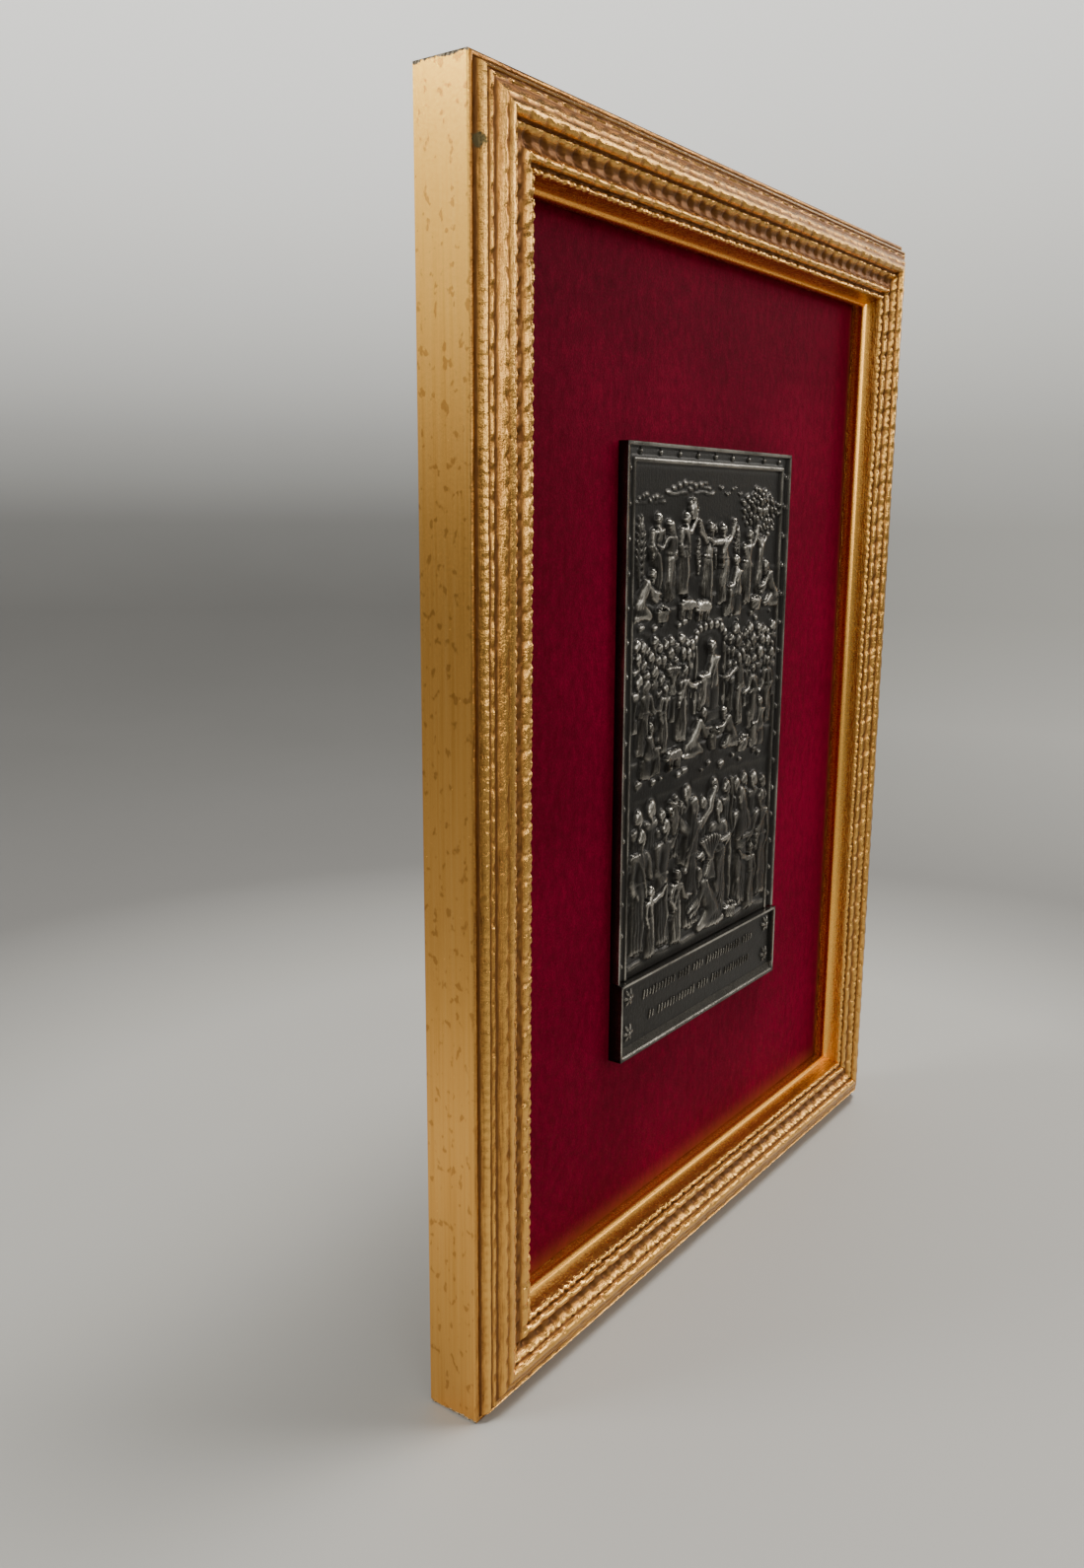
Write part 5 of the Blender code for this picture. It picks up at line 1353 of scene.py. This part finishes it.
def object_place(tree):
    """The Object coordinates socket."""
    return add_node(tree, "ShaderNodeTexCoord").outputs["Object"]


def near_spot(tree, place, spot, radius, softness):
    """One within a radius of a spot, falling to nought over a soft edge."""
    off = add_node(tree, "ShaderNodeVectorMath", {0: place, 1: spot}, operation="DISTANCE").outputs["Value"]
    return window(tree, off, radius, radius + softness, 1.0, 0.0)


def point_value(tree, name):
    """The number that paint_points stored."""
    return add_node(tree, "ShaderNodeAttribute", attribute_name=name).outputs["Fac"]


def raise_bumps(tree, shader, height, distance, strength=1.0):
    """Feeds a height through a Bump node into the shader's normal."""
    bump = add_node(tree, "ShaderNodeBump", {"Height": height, "Distance": distance, "Strength": strength})
    tree.links.new(bump.outputs["Normal"], shader.inputs["Normal"])


def dress(piece, finish):
    """Gives a piece one material."""
    piece.data.materials.clear()
    piece.data.materials.append(finish)


def report_finish(finish):
    """Prints how many nodes a finish has."""
    print(f"{finish.name}: {len(finish.node_tree.nodes)} nodes")


print("material helpers ready")

# %% [markdown]
# ## Effects that several finishes share
#
# Three effects come back in more than one finish, so each is built once as a node group with its own inputs
# and outputs. The mottle adds a broad and a fine noise, as handling and cleaning leave them. The wood grain
# is a noise drawn out along the fibres, with a light and a dark tone. The speckle is the fine tarnish of
# metal, which goes from a clean to a dull colour and also serves as the height of its pitting.

# %% Build the shared groups


def new_group(name, inputs, outputs):
    """An empty node group: inputs are a name, a kind and a value, and outputs are a name and a kind."""
    group = bpy.data.node_groups.new(name, "ShaderNodeTree")
    for label, kind, value in inputs:
        socket = group.interface.new_socket(label, in_out="INPUT", socket_type="NodeSocket" + kind)
        if value is not None:
            socket.default_value = value
    for label, kind in outputs:
        group.interface.new_socket(label, in_out="OUTPUT", socket_type="NodeSocket" + kind)
    return group, group.nodes.new("NodeGroupInput").outputs, group.nodes.new("NodeGroupOutput").inputs


def place_group(tree, group, inputs):
    """A group placed in a material with its inputs set or linked; returns its outputs."""
    return add_node(tree, "ShaderNodeGroup", inputs, node_tree=group).outputs


mottle, given, made = new_group(
    "mottle",
    [("Place", "Vector", None), ("Broad Scale", "Float", 60.0), ("Fine Scale", "Float", 400.0)],
    [("Broad", "Float"), ("Fine", "Float"), ("Both", "Float")],
)
broad = noise(mottle, given["Place"], given["Broad Scale"], 5.0, 0.65)
fine = noise(mottle, given["Place"], given["Fine Scale"], 4.0, 0.65)
mottle.links.new(broad, made["Broad"])
mottle.links.new(fine, made["Fine"])
mottle.links.new(weighted(mottle, (broad, 0.45), (fine, 0.55)), made["Both"])

wood_grain, given, made = new_group(
    "wood_grain",
    [("Place", "Vector", None), ("Stretch", "Vector", (40.0, 1400.0, 1.0)),
     ("Dark", "Color", (0.22, 0.13, 0.07, 1.0)), ("Light", "Color", (0.45, 0.31, 0.18, 1.0))],
    [("Color", "Color"), ("Height", "Float")],
)
drawn_out = add_node(wood_grain, "ShaderNodeVectorMath", {0: given["Place"], 1: given["Stretch"]},
                     operation="MULTIPLY").outputs[0]
fibres = window(wood_grain, noise(wood_grain, drawn_out, 1.0, 5.0, 0.6), 0.30, 0.70)
wood_grain.links.new(blend_colour(wood_grain, fibres, given["Dark"], given["Light"]), made["Color"])
wood_grain.links.new(fibres, made["Height"])

speckle, given, made = new_group(
    "speckle",
    [("Place", "Vector", None), ("Scale", "Float", 900.0), ("Dull", "Color", (0.2, 0.2, 0.2, 1.0)),
     ("Clean", "Color", (0.6, 0.6, 0.6, 1.0))],
    [("Color", "Color"), ("Height", "Float"), ("Roughness", "Float")],
)
specks = window(speckle, noise(speckle, given["Place"], given["Scale"], 4.0, 0.6), 0.30, 0.70)
speckle.links.new(blend_colour(speckle, specks, given["Dull"], given["Clean"]), made["Color"])
speckle.links.new(specks, made["Height"])
speckle.links.new(window(speckle, specks, 0.0, 1.0, 0.55, 0.28), made["Roughness"])
print("shared groups:", [group.name for group in (mottle, wood_grain, speckle)])

# %% [markdown]
# ## Paper floor
#
# The sweep is pale paper. Behind the object a band of painted shade darkens its colour, and higher up it
# glows:
# painted light that stands in for light from behind, so that the gilding has something dark and something
# bright to show. Both depend on the distance from the middle, which a Length node works out. To the right the
# paper is painted a little lighter, as if more light fell there.

# %% Finish the floor
paper, tree, shader = new_finish("paper_floor", 0.62, 0.0)
place = object_place(tree)
flat_place = add_node(tree, "ShaderNodeVectorMath", {0: place, 1: (1.0, 1.0, 0.0)}, operation="MULTIPLY")
away = add_node(tree, "ShaderNodeVectorMath", {0: flat_place.outputs[0]}, operation="LENGTH").outputs["Value"]
share = window(tree, away, 0.0, 3.0)
# Painted shade: a darker band of paper colour behind the object, set by the distance from the middle.
shade = ramp(tree, share, [
    (0.08, (0.40, 0.395, 0.37)), (0.15, (0.150, 0.147, 0.140)), (0.30, (0.132, 0.130, 0.123)),
    (0.60, (0.120, 0.118, 0.112)), (0.90, (0.55, 0.55, 0.54)),
])
# Painted light: the paper to the right is lighter, as if more light fell there.
to_right = add_node(tree, "ShaderNodeSeparateXYZ", {0: place}).outputs["X"]
turned_right = window(tree, math_node(tree, "DIVIDE", to_right, away), 0.72, 1.0)
lit = times(tree, turned_right, window(tree, share, 0.12, 0.35))
lighter = blend_colour(tree, lit, shade, (0.42, 0.415, 0.39))
cloud = times(tree, noise(tree, place, 3.0, 3.0), 0.10)
tree.links.new(blend_colour(tree, cloud, lighter, (0.40, 0.39, 0.38)), shader.inputs["Base Color"])
# Painted glow: far up the sweep the paper emits light that stands in for light from behind.
glow = ramp(tree, share, [
    (0.50, (0.0, 0.0, 0.0)), (0.59, (0.06, 0.06, 0.057)), (0.67, (0.22, 0.218, 0.205)),
    (0.80, (0.66, 0.65, 0.61)), (0.92, (1.1, 1.09, 1.04)),
])
tree.links.new(glow, shader.inputs["Emission Color"])
shader.inputs["Emission Strength"].default_value = 1.0
dress(floor, paper)
report_finish(paper)

# %% [markdown]
# ## Gilding
#
# The gold is leaf laid over red clay on gesso. Where hands and cloths rubbed it, on ridges and beads, it is
# brighter and smoother. Where they never reached, in the notches, a brown wax stayed. Towards the top the
# carved front is painted darker and browner, which is painted shade. The tool also left fine slanting
# creases. The step beside the velvet was left smooth and evenly covered, so it has no wax. On the flat side
# of the rails the leaf is paler and shows thin streaks along the rail and small flecks, and towards the top
# it is painted warmer and brighter, which is painted light. At the ends of that side a little leaf has
# chipped away from the gesso. The back and the rebate are bare wood, so their colour and their dull surface
# take over where the mask says so.

# %% Mix the gilding
gilding, tree, shader = new_finish("gilding", 0.34, 1.0)
shader.inputs["Specular IOR Level"].default_value = 0.15
place = object_place(tree)
along = add_node(tree, "ShaderNodeUVMap", uv_map="along").outputs["UV"]
painted = ("recess", "ridge", "burnished", "flank", "bare", "to_end")
recess, ridge, burnished, flank, bare, to_end = (point_value(tree, name) for name in painted)
stained_place, chipped_place = (-0.1125, -0.0190, -0.1030), (-0.1180, -0.0163, -0.0134)

patchy = place_group(tree, mottle, {"Place": place, "Broad Scale": 70.0, "Fine Scale": 520.0})
grainy = noise(tree, place, 1500.0, 3.0, 0.6)
creases = noise(tree, stretched(tree, along, (420.0, 1500.0, 1.0), 0.7), 1.0, 3.0, 0.6)
lines = noise(tree, stretched(tree, along, (110.0, 1900.0, 1.0)), 1.0, 4.0, 0.6)
streaks = noise(tree, stretched(tree, along, (14.0, 900.0, 1.0)), 1.0, 4.0, 0.65)

# Towards the top: painted shade on the carved front and painted light on the flat side.
upper = add_node(tree, "ShaderNodeSeparateXYZ", {0: place}).outputs["Z"]
upper = window(tree, upper, -75.0 * MM, 4.0 * MM)
# The leaf also turns a little darker towards the top: painted shade.
wear_and_shade = weighted(tree, (patchy["Broad"], 0.30), (patchy["Fine"], 0.18), (lines, 0.42), (creases, 0.10),
                (upper, -0.04))
leaf = ramp(tree, window(tree, wear_and_shade, 0.38, 0.62), [
    (0.0, (0.22, 0.088, 0.022)), (0.45, (0.50, 0.230, 0.054)), (1.0, (0.80, 0.41, 0.095)),
])
polished = blend_colour(tree, times(tree, ridge, 0.65), leaf, (1.0, 0.56, 0.14))
low_stain = near_spot(tree, place, stained_place, 3.0 * MM, 16.0 * MM)
# The wax mask holds the real wax of the notches and, towards the top, painted shade.
stain_and_shade = weighted(tree, (recess, 1.0), (patchy["Fine"], 0.60), (low_stain, 0.22), (upper, 0.10))
leaf_alone = math_node(tree, "SUBTRACT", 1.0, math_node(tree, "MAXIMUM", flank, burnished))
wax_and_shade = times(tree, window(tree, stain_and_shade, 0.45, 1.10), leaf_alone)
waxed_and_shaded = blend_colour(tree, wax_and_shade, polished, (0.170, 0.068, 0.019))
pale_leaf = ramp(tree, window(tree, streaks, 0.25, 0.75), [
    (0.0, (0.80, 0.39, 0.080)), (0.5, (0.96, 0.49, 0.115)), (1.0, (1.0, 0.55, 0.15)),
])
sight_edge = blend_colour(tree, burnished, waxed_and_shaded, (0.96, 0.50, 0.105))
# Painted light: the flat side turns warmer and brighter towards the top.
side_leaf_lit_at_top = blend_colour(tree, times(tree, upper, 0.8), pale_leaf, (1.0, 0.57, 0.085))
gold = blend_colour(tree, flank, sight_edge, side_leaf_lit_at_top)
print("leaf, polish and wax mixed")

# %% Add the marks on the gilding
scales = noise(tree, stretched(tree, along, (330.0, 430.0, 1.0)), 1.0, 2.0, 0.5)
flecks = times(tree, window(tree, scales, 0.60, 0.66), flank)
flecked = blend_colour(tree, times(tree, flecks, 0.60), gold, (0.46, 0.20, 0.045))
top_chip = near_spot(tree, place, chipped_place, 0.3 * MM, 3.2 * MM)
spots = weighted(tree, (top_chip, 1.0), (patchy["Fine"], 1.1), (grainy, 0.4))
spotted = blend_colour(tree, window(tree, spots, 1.25, 1.45), flecked, (0.125, 0.095, 0.042))
broken = weighted(tree, (patchy["Fine"], 2.6), (to_end, -1.0))
chips = times(tree, window(tree, broken, 0.70, 0.90), flank)
gesso = ramp(tree, grainy, [(0.40, (0.05, 0.035, 0.02)), (0.60, (0.52, 0.44, 0.32))])
chipped = blend_colour(tree, chips, spotted, gesso)
timber = place_group(tree, wood_grain, {"Place": along, "Stretch": (40.0, 1400.0, 1.0)})
tree.links.new(blend_colour(tree, bare, chipped, timber["Color"]), shader.inputs["Base Color"])

dull = weighted(tree, (wax_and_shade, 0.5), (grainy, 0.5), (ridge, -0.25), (burnished, 0.15))
rough = window(tree, dull, 0.0, 0.8, 0.15, 0.42)
unleafed = math_node(tree, "MAXIMUM", bare, chips)
roughest = math_node(tree, "MAXIMUM", rough, times(tree, unleafed, 0.8))
tree.links.new(roughest, shader.inputs["Roughness"])
metal = window(tree, wax_and_shade, 0.0, 1.0, 1.0, 0.70)
leafed = math_node(tree, "SUBTRACT", 1.0, unleafed)
tree.links.new(times(tree, metal, leafed), shader.inputs["Metallic"])
knocks = weighted(tree, (patchy["Fine"], 0.7), (lines, 0.4), (creases, 0.3), (grainy, 0.25))
softer = times(tree, knocks, window(tree, leaf_alone, 0.0, 1.0, 0.07, 1.0))
raise_bumps(tree, shader, softer, 0.28 * MM)
for rail in rails:
    dress(rail, gilding)
report_finish(gilding)

# %% [markdown]
# ## Crimson velvet
# Velvet scatters light off the sides of its fibres and swallows the rest, so it is deep and hardly shiny. The
# colour wanders with the lay of the pile, and a fine noise breaks the surface into tufts. Towards the right
# the colour is a little lighter, which is painted light. Beside the gilt lip, most of all along the bottom
# and the right, a gold-brown glow is painted into the colour: a painted reflection of the lip in the pile.

# %% Dye the velvet
crimson, tree, shader = new_finish("crimson_velvet", 0.55, 0.0)
shader.inputs["Specular IOR Level"].default_value = 0.02
shader.inputs["Sheen Weight"].default_value = 0.05
shader.inputs["Sheen Roughness"].default_value = 0.45
shader.inputs["Sheen Tint"].default_value = (1.0, 0.0, 0.10, 1.0)
place = object_place(tree)
nap = stretched(tree, place, (1.0, 1.0, 0.55))
lay = place_group(tree, mottle, {"Place": nap, "Broad Scale": 420.0, "Fine Scale": 2600.0})
swell = noise(tree, place, 14.0, 2.0)
axes = add_node(tree, "ShaderNodeSeparateXYZ", {0: place}).outputs
# Painted light: the colour grows lighter towards the right.
lit_to_the_right = window(tree, axes["X"], outer_left, outer_right, 0.0, 0.09)
lay_and_light = weighted(tree, (lay["Both"], 0.8), (swell, 0.25), (lit_to_the_right, 1.0))
dye_and_light = ramp(tree, window(tree, lay_and_light, 0.46, 0.68), [
    (0.0, (0.070, 0.0, 0.0065)), (0.5, (0.115, 0.0003, 0.0120)), (1.0, (0.185, 0.0008, 0.0190)),
])
# Painted reflection: a gold-brown glow in the colour beside the bottom and right lips.
lip = rebate_line + 2.5 * MM
beside_bottom = window(tree, axes["Z"], outer_bottom + lip, outer_bottom + lip + 7 * MM, 1.0, 0.0)
beside_right = window(tree, axes["X"], outer_right - lip - 3 * MM, outer_right - lip, 0.0, 1.0)
lip_glow = math_node(tree, "POWER", math_node(tree, "MAXIMUM", beside_bottom, beside_right), 2.0)
painted_lip_glow = blend_colour(tree, times(tree, lip_glow, 0.45), dye_and_light, (0.22, 0.070, 0.014))
tree.links.new(painted_lip_glow, shader.inputs["Base Color"])
raise_bumps(tree, shader, lay["Both"], 0.14 * MM)
dress(velvet, crimson)
report_finish(crimson)

# %% [markdown]
# ## Oxidised silver
#
# The castings were blackened with sulphur and then rubbed, so the ridges are bright grey and the hollows stay
# nearly black. The two masks that were stored on the points drive colour, roughness and metal together, and
# the shared mottle breaks them up.

# %% Blacken the silver
silver, tree, shader = new_finish("oxidised_silver", 0.40, 1.0)
place = object_place(tree)
rubbed = point_value(tree, "rubbed")
hollow = point_value(tree, "hollow")
patina = place_group(tree, mottle, {"Place": place, "Broad Scale": 60.0, "Fine Scale": 900.0})
shine = weighted(tree, (rubbed, 1.0), (patina["Fine"], 0.40), (hollow, -0.6))
shine = math_node(tree, "SUBTRACT", shine, 0.15, clamp=True)
handled = window(tree, patina["Broad"], 0.30, 0.65, 0.65, 1.10)
shine = times(tree, shine, handled, clamp=True)
grey = ramp(tree, shine, [
    (0.0, (0.020, 0.0187, 0.0163)), (0.35, (0.040, 0.0375, 0.0325)), (0.75, (0.110, 0.103, 0.089)),
    (1.0, (0.36, 0.34, 0.30)),
])
tree.links.new(grey, shader.inputs["Base Color"])
tree.links.new(window(tree, shine, 0.0, 1.0, 0.36, 0.20), shader.inputs["Roughness"])
tree.links.new(window(tree, hollow, 0.2, 1.0, 0.95, 0.55), shader.inputs["Metallic"])
brushing = noise(tree, stretched(tree, place, (2600.0, 2600.0, 220.0)), 1.0, 3.0)
raise_bumps(tree, shader, weighted(tree, (patina["Fine"], 0.7), (brushing, 0.5)), 0.10 * MM)
for casting in (plaque, tablet):
    dress(casting, silver)
report_finish(silver)

# %% [markdown]
# ## Board, pins and hanger
#
# Nothing behind the frame was meant to be seen, so these pieces are plain. The board is softwood with its
# grain upright. The six pins are steel wire with a dull bloom on it. The toothed strip and its two brads are
# stamped brass that has gone brown in the hollows. All of them keep their CAD shapes, and the shared grain
# and speckle give each its own tones.

# %% Finish the back
board_wood, tree, shader = new_finish("board_wood", 0.75, 0.0)
plank = place_group(tree, wood_grain, {"Place": object_place(tree), "Stretch": (900.0, 60.0, 30.0)})
tree.links.new(plank["Color"], shader.inputs["Base Color"])
raise_bumps(tree, shader, plank["Height"], 0.15 * MM)
dress(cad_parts["panel_board"], board_wood)
report_finish(board_wood)


def speckled_metal(name, scale, dull_tone, clean_tone):
    """A metal finish whose colour, roughness and pitting all come from the shared speckle."""
    metal_finish, metal_tree, metal_shader = new_finish(name, 0.38, 1.0)
    tones = {"Place": object_place(metal_tree), "Scale": scale, "Dull": dull_tone, "Clean": clean_tone}
    bloom = place_group(metal_tree, speckle, tones)
    metal_tree.links.new(bloom["Color"], metal_shader.inputs["Base Color"])
    metal_tree.links.new(bloom["Roughness"], metal_shader.inputs["Roughness"])
    raise_bumps(metal_tree, metal_shader, bloom["Height"], 0.02 * MM)
    report_finish(metal_finish)
    return metal_finish


steel = speckled_metal("pin_steel", 1200.0, (0.24, 0.20, 0.17, 1.0), (0.56, 0.56, 0.57, 1.0))
brass = speckled_metal("hanger_brass", 700.0, (0.34, 0.22, 0.09, 1.0), (0.74, 0.56, 0.28, 1.0))
for name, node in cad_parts.items():
    if name.startswith("panel_pin_"):
        dress(node, steel)
    elif name.startswith("hanger"):
        dress(node, brass)
